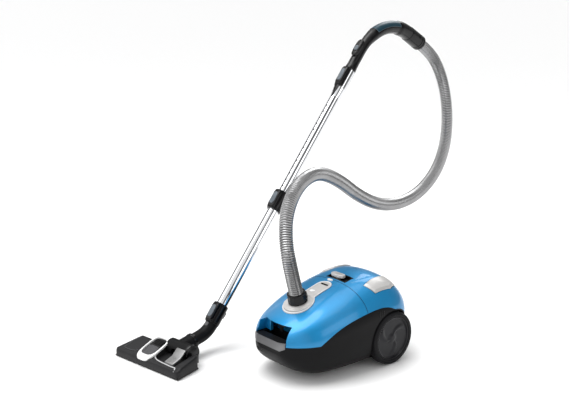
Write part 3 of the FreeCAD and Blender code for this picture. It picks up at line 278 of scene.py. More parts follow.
def piece_from(name: str, mesh: Mesh, finish: Finish, body: str, smooth: float = 40.0,
        stands_for: str = "") -> Object:
    """Put a mesh in the scene as a piece that rides on a body.

    Args:
        name: The piece's name.
        mesh: Its mesh, in metres in the row's frame.
        finish: The finish it takes, which holds its material slot.
        body: The body it rides on.
        smooth: Angle in degrees under which faces shade smoothly.
        stands_for: The frame's node that it replaces, if any.

    Returns:
        The new object.
    """
    mesh.name = name
    made = put(name, mesh)
    mesh.materials.clear()
    mesh.materials.append(finish.material())
    mesh.shade_smooth()
    mesh.set_sharp_from_angle(angle=radians(smooth))
    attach(made, body)
    if stands_for:
        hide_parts(stands_for)
    return made


def mesh_from(vertices: Sequence[Vector], faces: Sequence[Sequence[int]]) -> Mesh:
    """Make a mesh from points and faces, with outward normals."""
    mesh = bpy.data.meshes.new("piece")
    mesh.from_pydata([tuple(point) for point in vertices], [], [tuple(face) for face in faces])
    work = bmesh.new()
    work.from_mesh(mesh)
    bmesh.ops.remove_doubles(work, verts=work.verts, dist=1e-6)
    bmesh.ops.recalc_face_normals(work, faces=work.faces)
    work.to_mesh(mesh)
    work.free()
    return mesh


def ring_sweep(rings: Sequence[Sequence[Vector]], closed: bool = False, capped: bool = True) -> Mesh:
    """Skin a row of equal rings into a tube.

    Args:
        rings: Rings of points, all of one length.
        closed: Whether the last ring meets the first.
        capped: Whether the two ends are filled.

    Returns:
        The skinned mesh.
    """
    count = len(rings[0])
    vertices = [point for ring in rings for point in ring]
    faces: list[list[int]] = []
    spans = len(rings) if closed else len(rings) - 1
    for row in range(spans):
        low = row * count
        high = ((row + 1) % len(rings)) * count
        for index in range(count):
            after = (index + 1) % count
            faces.append([low + index, low + after, high + after, high + index])
    if capped and not closed:
        faces.append(list(range(count)))
        last = (len(rings) - 1) * count
        faces.append([last + index for index in reversed(range(count))])
    return mesh_from(vertices, faces)


# ------------------------------------------------------------------ stage
@dataclass
class Studio:
    """Camera, pale floor and soft lights."""

    target: Point = (0.048, -0.263, 0.458)
    distance: float = 2.75
    azimuth: float = 49.0
    elevation: float = 14.5
    lens: float = 63.85
    sun: float = 1.85
    sky: float = 0.95
    sky_bands: tuple[tuple[float, float], ...] = ((0.10, 0.9), (0.30, 1.0), (0.36, 0.12), (0.47, 0.12),
        (0.53, 1.0), (0.66, 0.9), (0.72, 0.15), (0.90, 0.3))

    def build(self) -> None:
        """Make the camera, the floor and the lights."""
        self.camera()
        self.floor()
        self.lights()

    def camera(self) -> None:
        """Aim the camera at the middle of the object."""
        turn = radians(self.azimuth)
        rise = radians(self.elevation)
        back = Vector((sin(turn) * cos(rise), -cos(turn) * cos(rise), sin(rise)))
        lens = bpy.data.cameras.new("camera")
        lens.lens = self.lens
        lens.sensor_width = 36.0
        made = put("camera", lens)
        made.location = Vector(self.target) + back * self.distance
        made.rotation_euler = (-back).to_track_quat("-Z", "Y").to_euler()
        bpy.context.scene.camera = made

    def floor(self) -> None:
        """Lay a wide pale floor just under the object."""
        reach = 45.0
        corners = [Vector((x * reach, y * reach, -0.0004)) for x, y in ((-1, -1), (1, -1), (1, 1),
            (-1, 1))]
        mesh = mesh_from(corners, [(0, 1, 2, 3)])
        made = put("floor", mesh)
        pale = Finish("pale_floor", "", (0.93, 0.93, 0.93), roughness=0.7, tint_spread=0.01,
            grain_depth=0.0)
        mesh.materials.append(pale.material())

    def lights(self) -> None:
        """Hang soft boxes overhead, at the left and at the right, and lift the world."""
        world = bpy.data.worlds.new("studio")
        world.use_nodes = True
        tree = world.node_tree
        tree.nodes["Background"].inputs["Strength"].default_value = self.sky
        parts = tree.nodes.new("ShaderNodeSeparateXYZ")
        tree.links.new(tree.nodes.new("ShaderNodeTexCoord").outputs["Generated"],
            parts.inputs["Vector"])
        share = spread(tree, parts.outputs["Y"], 0.0, 1.0)
        share.node.inputs["From Min"].default_value = -1.0
        stops = [(at, (tone, tone, tone)) for at, tone in self.sky_bands]
        tree.links.new(ramp(tree, share, stops), tree.nodes["Background"].inputs["Color"])
        bpy.context.scene.world = world
        bpy.context.scene.view_settings.view_transform = "Standard"
        centre = Vector(self.target)
        boxes = (("overhead", Vector((-0.5, 0.3, 2.6)), 2.4, 26.0), ("key_left",
            Vector((-1.9, -2.4, 1.9)), 2.2, 26.0), ("fill_right", Vector((2.8, 0.6, 1.2)), 1.6, 12.0),
            ("back_rim", Vector((-1.2, 2.4, 1.9)), 1.2, 20.0))
        for name, offset, side, power in boxes:
            light = bpy.data.lights.new(name, "AREA")
            light.energy = power
            light.size = side
            made = put(name, light)
            made.location = centre + offset
            made.rotation_euler = (-offset).to_track_quat("-Z", "Y").to_euler()
        sun = bpy.data.lights.new("even_sun", "SUN")
        sun.energy = self.sun
        sun.angle = radians(40)
        put("even_sun", sun).rotation_euler = (radians(12), radians(-14), 0)


# ------------------------------------------------------------------ hose
@dataclass
class CorrugatedHose:
    """The free hose between the canister's cuff and the handle's swivel cuff."""

    diameter: float = 0.040
    pitch: float = 0.0062
    groove: float = 0.0028
    around: int = 28
    length: float = 1.755
    route: tuple[Point, ...] = ((0.1380, -0.3022, 0.2260), (0.1380, -0.3256, 0.3077),
        (0.120, -0.324, 0.376), (0.097, -0.300, 0.446), (0.067, -0.232, 0.501), (0.034, -0.132, 0.516),
        (0.006, -0.022, 0.470), (-0.023, 0.091, 0.397), (-0.050, 0.209, 0.343), (-0.077, 0.333, 0.320),
        (-0.105, 0.457, 0.329), (-0.136, 0.573, 0.373), (-0.172, 0.661, 0.444), (-0.207, 0.712, 0.528),
        (-0.236, 0.732, 0.615), (-0.257, 0.722, 0.696), (-0.2687, 0.6824, 0.7625),
        (-0.2595, 0.6106, 0.8010),)

    def centre_line(self) -> list[Vector]:
        """Read even points along the route's smooth curve."""
        curve = bpy.data.curves.new("hose_route", "CURVE")
        curve.dimensions = "3D"
        spline = curve.splines.new("NURBS")
        spline.points.add(len(self.route) - 1)
        for point, place in zip(spline.points, self.route):
            point.co = (*place, 1.0)
        spline.order_u = 3
        spline.use_endpoint_u = True
        spline.resolution_u = 24
        holder = put("hose_route", curve)
        mesh = bpy.data.meshes.new_from_object(holder)
        points = [vertex.co.copy() for vertex in mesh.vertices]
        bpy.data.objects.remove(holder)
        bpy.data.meshes.remove(mesh)
        return points

    def build(self) -> Object:
        path = self.centre_line()
        fine = even_points(path, self.pitch / 4)
        radius = self.diameter / 2
        rings = []
        for index, (place, along, side, up) in enumerate(travel(fine)):
            phase = index % 4
            depth = (0.0, self.groove * 0.35, self.groove, self.groove * 0.35)[phase]
            rings.append(hoop(place, side, up, radius - depth, self.around))
        made = piece_from("corrugated_hose", ring_sweep(rings), HOSE, "hose", 60, stands_for="hose")
        return made


def turns(count: int) -> list[float]:
    """Angles round a full turn."""
    return [2 * pi * index / count for index in range(count)]


def hoop(centre: Vector, side: Vector, up: Vector, radius: float, count: int) -> list[Vector]:
    """A ring of points round a centre, in the plane of two directions."""
    return [centre + (side * cos(turn) + up * sin(turn)) * radius for turn in turns(count)]


def even_points(path: Sequence[Vector], step: float) -> list[Vector]:
    """Resample a polyline to an even step along its length."""
    lengths = [0.0]
    for before, after in zip(path, path[1:]):
        lengths.append(lengths[-1] + (after - before).length)
    count = max(2, round(lengths[-1] / step))
    result = []
    span = 0
    for index in range(count + 1):
        reach = lengths[-1] * index / count
        while span < len(path) - 2 and lengths[span + 1] < reach:
            span += 1
        part = (reach - lengths[span]) / max(lengths[span + 1] - lengths[span], 1e-9)
        result.append(path[span].lerp(path[span + 1], part))
    return result


def travel(path: Sequence[Vector]) -> list[tuple[Vector, Vector, Vector, Vector]]:
    """Carry a square frame along a path without twist.

    Returns:
        For each point: its place, the direction along, and two directions across.
    """
    frames = []
    side = Vector((1, 0, 0))
    for index, place in enumerate(path):
        before = path[max(index - 1, 0)]
        after = path[min(index + 1, len(path) - 1)]
        along = (after - before).normalized()
        side = (side - along * side.dot(along)).normalized()
        frames.append((place, along, side, along.cross(side)))
    return frames


# ------------------------------------------------------------------ places
def place(x: float, y: float, z: float, axis: str = "Z", degrees: float = 0.0) -> Matrix:
    """Return a frame moved to a point in millimetres and turned about one axis."""
    move = Matrix.Translation((x * MM, y * MM, z * MM))
    return move @ Matrix.Rotation(radians(degrees), 4, axis)


CANISTER = place(138, -69, 0)
TOOL = place(-144, -606, 0, "Z", 7.3)
WAND = TOOL @ place(40, 250, 112, "X", -43)
INLET = CANISTER @ place(0, -224, 194, "X", 16)
CUFF = INLET @ place(0, 0, 5.3)
BEND = 215.0
BEND_TURN = 75.0
HANDLE = WAND @ place(0, 0, 937)
BEND_END = radians(BEND_TURN)
HANDLE_END = HANDLE @ place(0, BEND * (1 - cos(BEND_END)), BEND * sin(BEND_END), "X", -BEND_TURN)
DRUM = TOOL @ place(0, 92, 40)
NECK = DRUM @ place(40, 0, 0, "X", -81)


def lathe(profile: Outline, frame_in: Matrix, around: int = 64, ripple: Callable[[float, float],
        float] | None = None) -> Mesh:
    """Turn an outline about a frame's own Z.

    Args:
        profile: Radius and height pairs in millimetres, in order along the outline.
        frame_in: The frame whose Z is the axis.
        around: Points round the axis.
        ripple: Adds millimetres to the radius by angle and height.

    Returns:
        A closed mesh: the outline's last point is joined to its first.
    """
    rings = []
    for radius, height in profile:
        ring = []
        for turn in turns(around):
            reach = radius + (ripple(turn, height) if ripple and radius > 0 else 0.0)
            ring.append(spun(frame_in, reach, turn, height))
        rings.append(ring)
    return ring_sweep(rings, closed=True)


def pillow(frame_in: Matrix, half_x: float, half_y: float, height: float, power: float = 2.6,
        foot: float = 0.0, around: int = 48) -> Mesh:
    """A soft-edged pad on a frame's own plane.

    Args:
        frame_in: Frame with the pad's foot on its XY plane.
        half_x: Half its size along X, in millimetres.
        half_y: Half its size along Y.
        height: Height of its crown.
        power: Squareness of its outline, 2 for an ellipse.
        foot: How far its skirt goes below the plane.
        around: Points round its outline.

    Returns:
        A closed mesh.
    """
    steps = [(1.0, -foot), (1.0, height * 0.45), (0.985, height * 0.68), (0.95, height * 0.84),
        (0.88, height * 0.94), (0.7, height * 0.985), (0.4, height)]
    rings = []
    for share, rise in steps:
        ring = []
        for turn in turns(around):
            across, along = cos(turn), sin(turn)
            drawn_in = (1 - share) * min(half_x, half_y)
            x = (half_x - drawn_in) * squared(across, 2 / power)
            y = (half_y - drawn_in) * squared(along, 2 / power)
            ring.append(frame_in @ mm(x, y, rise))
        rings.append(ring)
    return ring_sweep(rings)


def strip(path: Sequence[Vector], radius: float, around: int = 10, closed: bool = False) -> Mesh:
    """A thin round bead along a path, in metres, with its radius in millimetres."""
    rings = []
    for spot, _along, side, up in travel(path):
        rings.append(hoop(spot, side, up, radius * MM, around))
    return ring_sweep(rings, closed=closed)


def on_line(start: tuple[float, float], end: tuple[float, float], steps: int) -> list[tuple[float,
        float]]:
    """Even points from a start towards an end, without the end itself."""
    shares = [step / steps for step in range(steps)]
    return [(start[0] + (end[0] - start[0]) * share, start[1] + (end[1] - start[1]) * share)
        for share in shares]


def smooth_step(low: float, high: float, value: float) -> float:
    """Ease from 0 at low to 1 at high."""
    part = min(1.0, max(0.0, (value - low) / (high - low)))
    return part * part * (3 - 2 * part)


def joined(meshes: Sequence[Mesh]) -> Mesh:
    """Join meshes into the first and return it."""
    work = bmesh.new()
    for mesh in meshes:
        work.from_mesh(mesh)
    work.to_mesh(meshes[0])
    work.free()
    for mesh in meshes[1:]:
        bpy.data.meshes.remove(mesh)
    return meshes[0]


class Skin:
    """The surface of some frame nodes, for laying trim on."""

    above, top, beside, flank = 0.4, 0.2, 0.3, 0.13

    def __init__(self, *nodes: str) -> None:
        """Gather the nodes' faces.

        Args:
            nodes: Names of the frame's nodes.
        """
        vertices: list[Vector] = []
        faces: list[list[int]] = []
        for name in nodes:
            mesh = frame["nodes"][name].data
            base = len(vertices)
            vertices += [vertex.co.copy() for vertex in mesh.vertices]
            faces += [[base + index for index in face.vertices] for face in mesh.polygons]
        self.tree = BVHTree.FromPolygons(vertices, faces)

    def down(self, x: float, y: float) -> Vector:
        """Drop a point, in canister millimetres, on to the surface from above."""
        start = CANISTER @ Vector((x * MM, y * MM, self.above))
        hit = self.tree.ray_cast(start, Vector((0, 0, -1)))[0]
        return hit or CANISTER @ Vector((x * MM, y * MM, self.top))

    def inward(self, y: float, z: float, side: int) -> Vector:
        """Push a point in from the canister's flank on to the surface."""
        start = CANISTER @ Vector((side * self.beside, y * MM, z * MM))
        hit = self.tree.ray_cast(start, Vector((-side, 0, 0)))[0]
        return hit or CANISTER @ Vector((side * self.flank, y * MM, z * MM))


# ------------------------------------------------------------------ canister
class Side(Enum):
    """The canister's two flanks."""

    RIGHT = 1
    LEFT = -1


@dataclass
class RearWheel:
    """A large rear wheel: grooved tyre and a dished disc with three swept arms."""

    side: Side
    radius: float = 75.0
    inner_face: float = 118.0
    outer_face: float = 146.0
    rim: float = 61.5
    arms: int = 3

    def frame_in(self) -> Matrix:
        """The wheel's frame, with Z out along the axle."""
        return CANISTER @ place(0, 0, self.radius, "Y", 90 * self.side.value)

    def tyre(self) -> Object:
        """Make the tyre with its rounded shoulder and side grooves."""
        low, high, full = self.inner_face, self.outer_face, self.radius
        profile = [(self.rim + 0.4, low + 1), (full - 3, low), (full, low + 3)]
        for groove in (0.28, 0.5, 0.72):
            middle = low + (high - low) * groove
            profile += [(full, middle - 1.6), (full - 1.0, middle - 0.9), (full - 1.0, middle + 0.9),
                (full, middle + 1.6)]
        profile += [(full, high - 5), (full - 1.2, high - 2.2), (full - 3.6, high - 0.6),
            (full - 5.5, high - 0.2), (full - 6.3, high - 1.0), (full - 7.1, high - 0.2),
            (self.rim + 2.2, high - 0.3), (self.rim + 0.4, high - 1.6)]
        hand = self.side.name.lower()
        return piece_from(hand + "_tyre_tread", lathe(profile, self.frame_in(), 96), TYRE,
            hand + "_wheel", 34, stands_for=hand + "_tyre")

    def disc(self) -> Object:
        """Make the dished disc with swept arms in relief."""
        high = self.outer_face
        rim = self.rim
        rings = []
        levels = [(0.0, high - 6.4)]
        levels += [(rim * share, high - 6.4) for share in (0.04, 0.1, 0.18, 0.26, 0.34, 0.42, 0.5, 0.58,
            0.66, 0.74, 0.82, 0.88)]
        levels += [(rim * 0.915, high - 5.6), (rim * 0.935, high - 2.6), (rim * 0.955, high - 1.8),
            (rim * 0.985, high - 1.9), (rim, high - 3.2), (rim, high - 22), (rim * 0.5, high - 24),
            (5.6, high - 24), (5.6, high - 14), (0.0, high - 14)]
        for radius, height in levels:
            ring = []
            for turn in turns(120):
                lift = self.relief(turn, radius) if height > high - 7 and radius < rim * 0.9 else 0.0
                ring.append(spun(self.frame_in(), radius, turn, height + lift))
            rings.append(ring)
        hand = self.side.name.lower()
        return piece_from(hand + "_wheel_disc", ring_sweep(rings, capped=False), HUB, hand + "_wheel",
            30, stands_for=hand + "_wheel")

    def relief(self, turn: float, radius: float) -> float:
        """Height of the disc's relief at a point: a boss and swept arms."""
        share = radius / self.rim
        swirl = turn + 1.35 * share
        arm = abs(((swirl * self.arms / (2 * pi)) % 1.0) - 0.5) * 2
        ridge = 1 - smooth_step(0.10, 0.26, arm)
        fade = smooth_step(0.16, 0.3, share) * (1 - smooth_step(0.78, 0.9, share))
        boss = 1 - smooth_step(0.14, 0.22, share)
        return 2.6 * ridge * fade + 3.6 * boss

    def build(self) -> list[Object]:
        """Make the tyre and the disc."""
        return [self.tyre(), self.disc()]


@dataclass
class RearPedal:
    """A six-cornered pedal on a rear shoulder, with bright sloping edges."""

    side: Side
    node: str
    edge: float = 0.17
    body_half: float = 142.0
    corners: tuple[tuple[float, float], ...] = ((0.556, -56), (0.785, -43), (0.785, 18), (0.655, 54),
        (0.45, 43), (0.495, -25))

    def build(self) -> list[Object]:
        """Make the faceted plate on the shell's own curve."""
        skin = Skin(self.node)
        side = self.side.value
        outline = [(side * share * self.body_half, y) for share, y in self.corners]
        middle_x = sum(x for x, _ in outline) / len(outline)
        middle_y = sum(y for _, y in outline) / len(outline)
        dense = []
        for here, after in zip(outline, outline[1:] + outline[:1]):
            dense += on_line(here, after, 8)
        rings = []
        for share, lift in ((0.985, -6.0), (0.985, -3.4), (1 - self.edge * 0.25, -2.8),
                (1 - self.edge, 0.1), (1 - self.edge * 1.12, 0.0), (0.6, -0.15), (0.3, -0.15),
                (0.04, -0.15)):
            ring = []
            for x, y in dense:
                at_x = middle_x + (x - middle_x) * share
                at_y = middle_y + (y - middle_y) * share
                ring.append(skin.down(at_x, at_y) + mm(0, 0, lift))
            rings.append(ring)
        made = piece_from(self.node + "_plate", ring_sweep(rings), SILVER, self.node, 18,
            stands_for=self.node)
        return [made]


@dataclass
class InletTrim:
    """White rim, window and slit of the inlet panel, and the cuff's low collar."""

    round_radius: float = 44.0
    tongue_half: float = 24.0
    tongue_end: float = -134.0
    centre: float = -224.0
    bead: float = 1.3

    def outline(self, inset: float) -> list[tuple[float, float]]:
        """The keyhole's outline in canister plan, moved in by a distance."""
        radius = self.round_radius - inset
        half = self.tongue_half - inset
        start = math.asin(half / radius)
        points = []
        sweep = 2 * pi - 2 * start
        for index in range(49):
            turn = pi / 2 + start + sweep * index / 48
            points.append((radius * cos(turn), self.centre + radius * sin(turn)))
        points += on_line(points[-1], (half, self.tongue_end), 7)[1:]
        for index in range(25):
            turn = pi * index / 24
            points.append((half * cos(turn), self.tongue_end + half * 0.92 * sin(turn)))
        return points + on_line((-half, self.tongue_end), points[0], 7)[1:]

    def build(self) -> list[Object]:
        """Lay the trim on the panel."""
        skin = Skin("inlet_panel", "dust_lid")
        path = [skin.down(x, y) + Vector((0, 0, 0.0003)) for x, y in self.outline(1.6)]
        rim = piece_from("inlet_panel_rim", strip(path, self.bead, closed=True), WHITE, "lid")
        slope = place(0, 0, 0, "X", 11)
        window_at = Matrix.Translation(skin.down(-6, -168)) @ slope
        window = piece_from("bag_window", pillow(window_at, 8.5, 6.0, 1.6, 2.8, 1.0), WHITE, "lid")
        dark_at = Matrix.Translation(skin.down(0, -128)) @ slope
        frame_mesh = pillow(dark_at, 14.0, 3.2, 0.8, 4.0, 1.0)
        slit = piece_from("indicator_slit", frame_mesh, BLACK, "lid")
        flange = lathe([(34, -3), (42, -3), (42.6, 1.2), (41.8, 2.4), (40, 2.9), (34, 3.2)], INLET)
        ring = piece_from("collar_flange", flange, SILVER, "lid")
        return [rim, window, slit, ring]


@dataclass
class HoseCuff:
    """Faceted swivelling cuff at the canister end, with a release lug."""

    length: float = 28.0
    radius: float = 27.0
    facets: int = 12

    def build(self) -> list[Object]:
        """Make the cuff and its lug."""
        radius, length = self.radius, self.length

        def facet(turn: float, height: float) -> float:
            """Flatten the cuff between its facets' corners."""
            part = (turn * self.facets / (2 * pi)) % 1.0
            return -1.1 * sin(pi * part) if 3 < height < length - 3 else 0.0

        profile = [(20.5, -28), (23.4, -28), (23.4, 0.2), (radius - 1, 0.2), (radius, 1.4),
            (radius, 3.2), (radius - 0.2, 4.4), (radius - 0.4, length * 0.55),
            (radius - 1.6, length - 4.4), (radius - 1.0, length - 3.0), (radius - 1.2, length - 0.8),
            (radius - 2.2, length), (20.5, length)]
        made = piece_from("canister_cuff", lathe(profile, CUFF, 96, facet), BLACK, "hose", 22,
            stands_for="hose_cuff")
        lug_at = CUFF @ place(0, 0, length * 0.62, "Z", 40) @ place(radius - 2.2, 0, 0, "Y", 86)
        lug = piece_from("canister_cuff_lug", pillow(lug_at, 9.5, 6.0, 3.6, 3.4, 1.5), BLACK, "hose")
        return [made, lug]


@dataclass
class PowerSlider:
    """Long silver power slider with finger ridges, and its end mark."""

    node: str = "power_slider"
    rise: float = 4.2
    ridges: int = 5

    def build(self) -> list[Object]:
        """Make the slider and the little pilot bump before it."""
        low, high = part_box(self.node)
        middle = (low + high) / 2
        foot = Matrix.Translation((middle.x, middle.y, high.z - self.rise * MM))
        half_x = (high.x - low.x) / 2 / MM
        half_y = (high.y - low.y) / 2 / MM
        meshes = [pillow(foot, half_x * 0.9, half_y * 0.98, self.rise, 3.2, 4.0)]
        for index in range(self.ridges):
            offset = (index - (self.ridges - 1) / 2) * 3.4
            meshes.append(pillow(foot @ place(offset, 0, self.rise - 0.6), 0.8, half_y * 0.62, 1.3, 2.4,
                0.4, 20))
        stem = pillow(foot @ place(0, 0, -9), 5, 4, 5.5, 4, 6.5, 20)
        made = piece_from("power_slider_grip", joined(meshes + [stem]), SILVER, "slider",
            stands_for=self.node)
        skin = Skin("rear_housing", "dust_lid")
        bump_at = Matrix.Translation(skin.down(-8, -99))
        bump_made = piece_from("pilot_bump", pillow(bump_at, 9.5, 5.0, 2.6, 2.2, 1.0), WHITE, "lid")
        return [made, bump_made]


@dataclass
class FrontGrip:
    """Rib and inner wall seen through the grip's mouth, and the nose slot."""

    def build(self) -> list[Object]:
        """Make the rib, the inner wall and the dark slot."""
        # The inner wall and back panel wear the darker blue copy: painted shade inside the grip's
        # mouth.
        panels = (("grip_rib", place(-34, -291, 123.5), (2.6, 5.0, 34.0, 4.0), BLUE),
            ("grip_inner_wall", place(-61.5, -302, 121.0, "Y", 15), (1.5, 14.0, 35.0, 6.0), BLUE_PAINTED_SHADE),
            ("grip_back_panel", place(-48.5, -288.5, 122.0), (13.5, 1.4, 34.0, 6.0), BLUE_PAINTED_SHADE))
        walls = [piece_from(name, pillow(CANISTER @ spot, *size, 0.0, 24), finish, "lid") for name,
            spot, size, finish in panels]
        skin = Skin("lower_housing")
        slots = []
        for index, z in enumerate((74, 80)):
            start = CANISTER @ Vector((-34 * MM, -0.5, z * MM))
            hit = skin.tree.ray_cast(start, Vector((0, 1, 0)))[0]
            if hit:
                at_slot = Matrix.Translation(hit) @ Matrix.Rotation(radians(90), 4, "X")
                slots.append(piece_from("nose_slot_%d" % index, pillow(at_slot, 15, 1.5, 0.5, 5.0, 0.8),
                    BLACK, "canister"))
        return [*walls, *slots]


@dataclass
class LidGapShade:
    """A painted shade line: a dark bead standing for the shadow in the gap where the lid meets the rear
    housing.
    """

    line_y: float = -94.6
    bead: float = 0.75

    def build(self) -> list[Object]:
        """Lay a fine dark bead of painted shade in the gap, over the top and down both flanks."""
        skin = Skin("rear_housing", "dust_lid")
        path = [skin.inward(self.line_y + 1.2, z, 1) for z in (172, 178, 184, 190, 196)]
        path += [skin.down(x, self.line_y + 1.2) for x in range(112, -113, -8)]
        path += [skin.inward(self.line_y + 1.2, z, -1) for z in (196, 190, 184, 178, 172)]
        inset = [spot - Vector((0, 0, 0.0003)) for spot in path]
        # Black bead: painted shade in the lid gap.
        return [piece_from("lid_gap_painted_shade", strip(even_points(inset, 0.004), self.bead, 8), BLACK,
            "canister")]


@dataclass
class ArchRibs:
    """Upright ribs on the dark flank just ahead of each wheel."""

    places_y: tuple[float, ...] = (-52.0, -44.0, -36.0)
    low: float = 146.0
    high: float = 166.0

    def build(self) -> list[Object]:
        """Lay the ribs on both flanks."""
        skin = Skin("lower_housing")
        made = []
        for side in Side:
            meshes = []
            for y in self.places_y:
                path = [skin.inward(y, self.low + (self.high - self.low) * step / 6, side.value)
                    for step in range(7)]
                meshes.append(strip(path, 1.2))
            made.append(piece_from(side.name.lower() + "_arch_ribs", joined(meshes), BLACK, "canister"))
        return made


@dataclass
class DustBag:
    """Soft fleece bag hanging from its collar inside the canister."""

    node: str = "dust_bag"
    wrinkle: float = 2.4

    def build(self) -> list[Object]:
        """Shape the filled bag with slack folds between its corners."""
        low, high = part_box(self.node)
        middle = (low + high) / 2
        half = (high - low) / 2 * 0.97
        rings = []
        levels = 26
        for level in range(levels + 1):
            rise = -1 + 2 * level / levels
            belly = max(0.0, 1 - abs(rise) ** 3.4) ** (1 / 3.4)
            reach = max(belly, 0.02)
            ring = []
            for turn in turns(96):
                across, along = cos(turn), sin(turn)
                fold = sin(7 * turn + 2.1 * rise) * 0.5 + sin(13 * turn - 3.3 * rise) * 0.5
                slack = self.wrinkle * MM * fold * belly - self.wrinkle * MM
                x = (half.x * reach + slack) * squared(across, 0.55)
                y = (half.y * reach + slack) * squared(along, 0.55)
                ring.append(middle + Vector((x, y, half.z * rise * 0.98)))
            rings.append(ring)
        made = piece_from("fleece_bag", ring_sweep(rings), FLEECE, "canister", 70, stands_for=self.node)
        return [made]


# ------------------------------------------------------------------ wand and handle
def saddle_section(turn: float, outer: float, half: float, top: float) -> float:
    """Radius of a round sleeve with a raised saddle on its upper side."""
    from_top = abs((turn + pi / 2 + pi) % (2 * pi) - pi)
    if from_top > radians(75):
        return outer
    flat = top / max(cos(from_top), 0.05)
    cheek = half / max(sin(from_top), 0.05)
    soft = (flat ** -9 + cheek ** -9) ** (-1 / 9)
    return max(outer, soft)


@dataclass
class TubeClip:
    """A moulded sleeve with a raised saddle and a button, along the wand."""

    name: str
    body: str
    node: str
    low: float
    high: float
    bore: float
    outer: float
    half: float
    top: float
    button: str
    button_node: str
    button_body: str
    open_back: bool = False

    def sleeve(self) -> Object:
        """Make the sleeve with tapering saddle ends and end rings."""
        rings = []
        length = self.high - self.low
        for share, swell in ((0.0, -0.8), (0.015, 0.0), (0.06, 0.2), (0.07, -0.5), (0.09, -0.5),
                (0.1, 0.0), (0.2, 0.0), (0.35, 0.0), (0.5, 0.0), (0.65, 0.0), (0.8, 0.0), (0.9, 0.0),
                (0.91, -0.5), (0.93, -0.5), (0.94, 0.2), (0.985, 0.0), (1.0, -0.8)):
            at_z = self.low + length * share
            rise = smooth_step(-0.02, 0.16, share) * (1 - smooth_step(0.84, 1.02, share))
            top = self.outer + (self.top - self.outer) * (0.25 + 0.75 * rise)
            ring = []
            for turn in turns(72):
                reach = saddle_section(turn, self.outer, self.half, top) + swell
                if self.open_back:
                    reach = min(reach, self.wrapped(turn, reach))
                ring.append(spun(WAND, reach, turn, at_z))
            rings.append(ring)
        for at_z in (self.high, self.low):
            rings.append([spun(WAND, self.bore, turn, at_z) for turn in turns(72)])
        return piece_from(self.name, ring_sweep(rings, closed=True), BLACK, self.body, 32,
            stands_for=self.node)

    def wrapped(self, turn: float, reach: float) -> float:
        """Sink a sleeve that is open at the back under the tube's own surface there."""
        from_top = abs((turn + pi / 2 + pi) % (2 * pi) - pi)
        return reach + (self.bore - reach) * smooth_step(0.85, 0.95, from_top)

    def key(self) -> Object:
        """Make the button with finger ridges."""
        middle = (self.low + self.high) / 2
        half_length = (self.high - self.low) / 2 - 12
        foot = WAND @ place(0, -self.top + 0.8, middle, "X", 90)
        meshes = [pillow(foot, self.half - 3.6, half_length, 2.8, 3.0, 1.0)]
        for index in range(5):
            meshes.append(pillow(foot @ place(0, (index - 2) * 3.6 - 4, 2.2), self.half - 6, 0.8, 1.2,
                2.4, 0.4, 20))
        return piece_from(self.button, joined(meshes), GREY, self.button_body,
            stands_for=self.button_node)

    def build(self) -> list[Object]:
        """Make the sleeve and the button."""
        return [self.sleeve(), self.key()]


@dataclass
class WandHook:
    """Parking hook, wear ring and clip tongue on the wand."""

    def build(self) -> list[Object]:
        """Make the hook and the small trims."""
        arm = [WAND @ mm(0, y, z) for y, z in ((19, -18), (26, -17.5), (30, -14), (31, -6), (31.2, 3))]
        hook = piece_from("parking_hook", strip(arm, 2.6, 14), BLACK, "lower_wand")
        wear = lathe([(17.7, 396), (20.4, 396), (20.8, 397.5), (20.4, 399), (17.7, 399)], WAND)
        wear_made = piece_from("adjuster_wear_ring", wear, CHROME, "lower_wand")
        tongue = []
        for share in (0.0, 0.35, 0.7, 1.0):
            z = 797 - 44 * share
            half = 9.5 * (1 - share) + 1.2
            reach = 19.6 + 1.5 if z > 792 else 16 + 3.6 * (z - 756) / 36 + 1.4
            arc = [-pi / 2 + (step - 4) / 4 * half / reach for step in range(9)]
            outer = [spun(WAND, reach, turn, z) for turn in arc]
            tongue.append(outer + [spun(WAND, reach - 1.3, turn, z) for turn in reversed(arc)])
        tongue_made = piece_from("clip_tongue", ring_sweep(tongue), BLACK, "handle")
        notches = []
        for index in range(14):
            spot = WAND @ place(0, -16.0, 418 + index * 23, "X", 90)
            notches.append(pillow(spot, 3.2, 2.4, 0.25, 3.0, 0.6, 20))
        notch_made = piece_from("telescope_notches", joined(notches), BLACK, "handle")
        clip_at = WAND @ place(0, -18.2, -57, "X", 90)
        clip_made = piece_from("elbow_clip", pillow(clip_at, 6.5, 6.5, 3.0, 3.2, 1.0), GREY_DARK,
            "lower_wand")
        return [hook, wear_made, tongue_made, notch_made, clip_made]


def bend_point(angle: float, turn: float, radius: float) -> Vector:
    """A point on the handle's bend: angle along it, turn round it from the upper side."""
    out = Vector((sin(turn), -cos(turn) * cos(angle), cos(turn) * sin(angle)))
    centre = Vector((0, BEND * (1 - cos(angle)), BEND * sin(angle)))
    return HANDLE @ ((centre + out * radius) * MM)


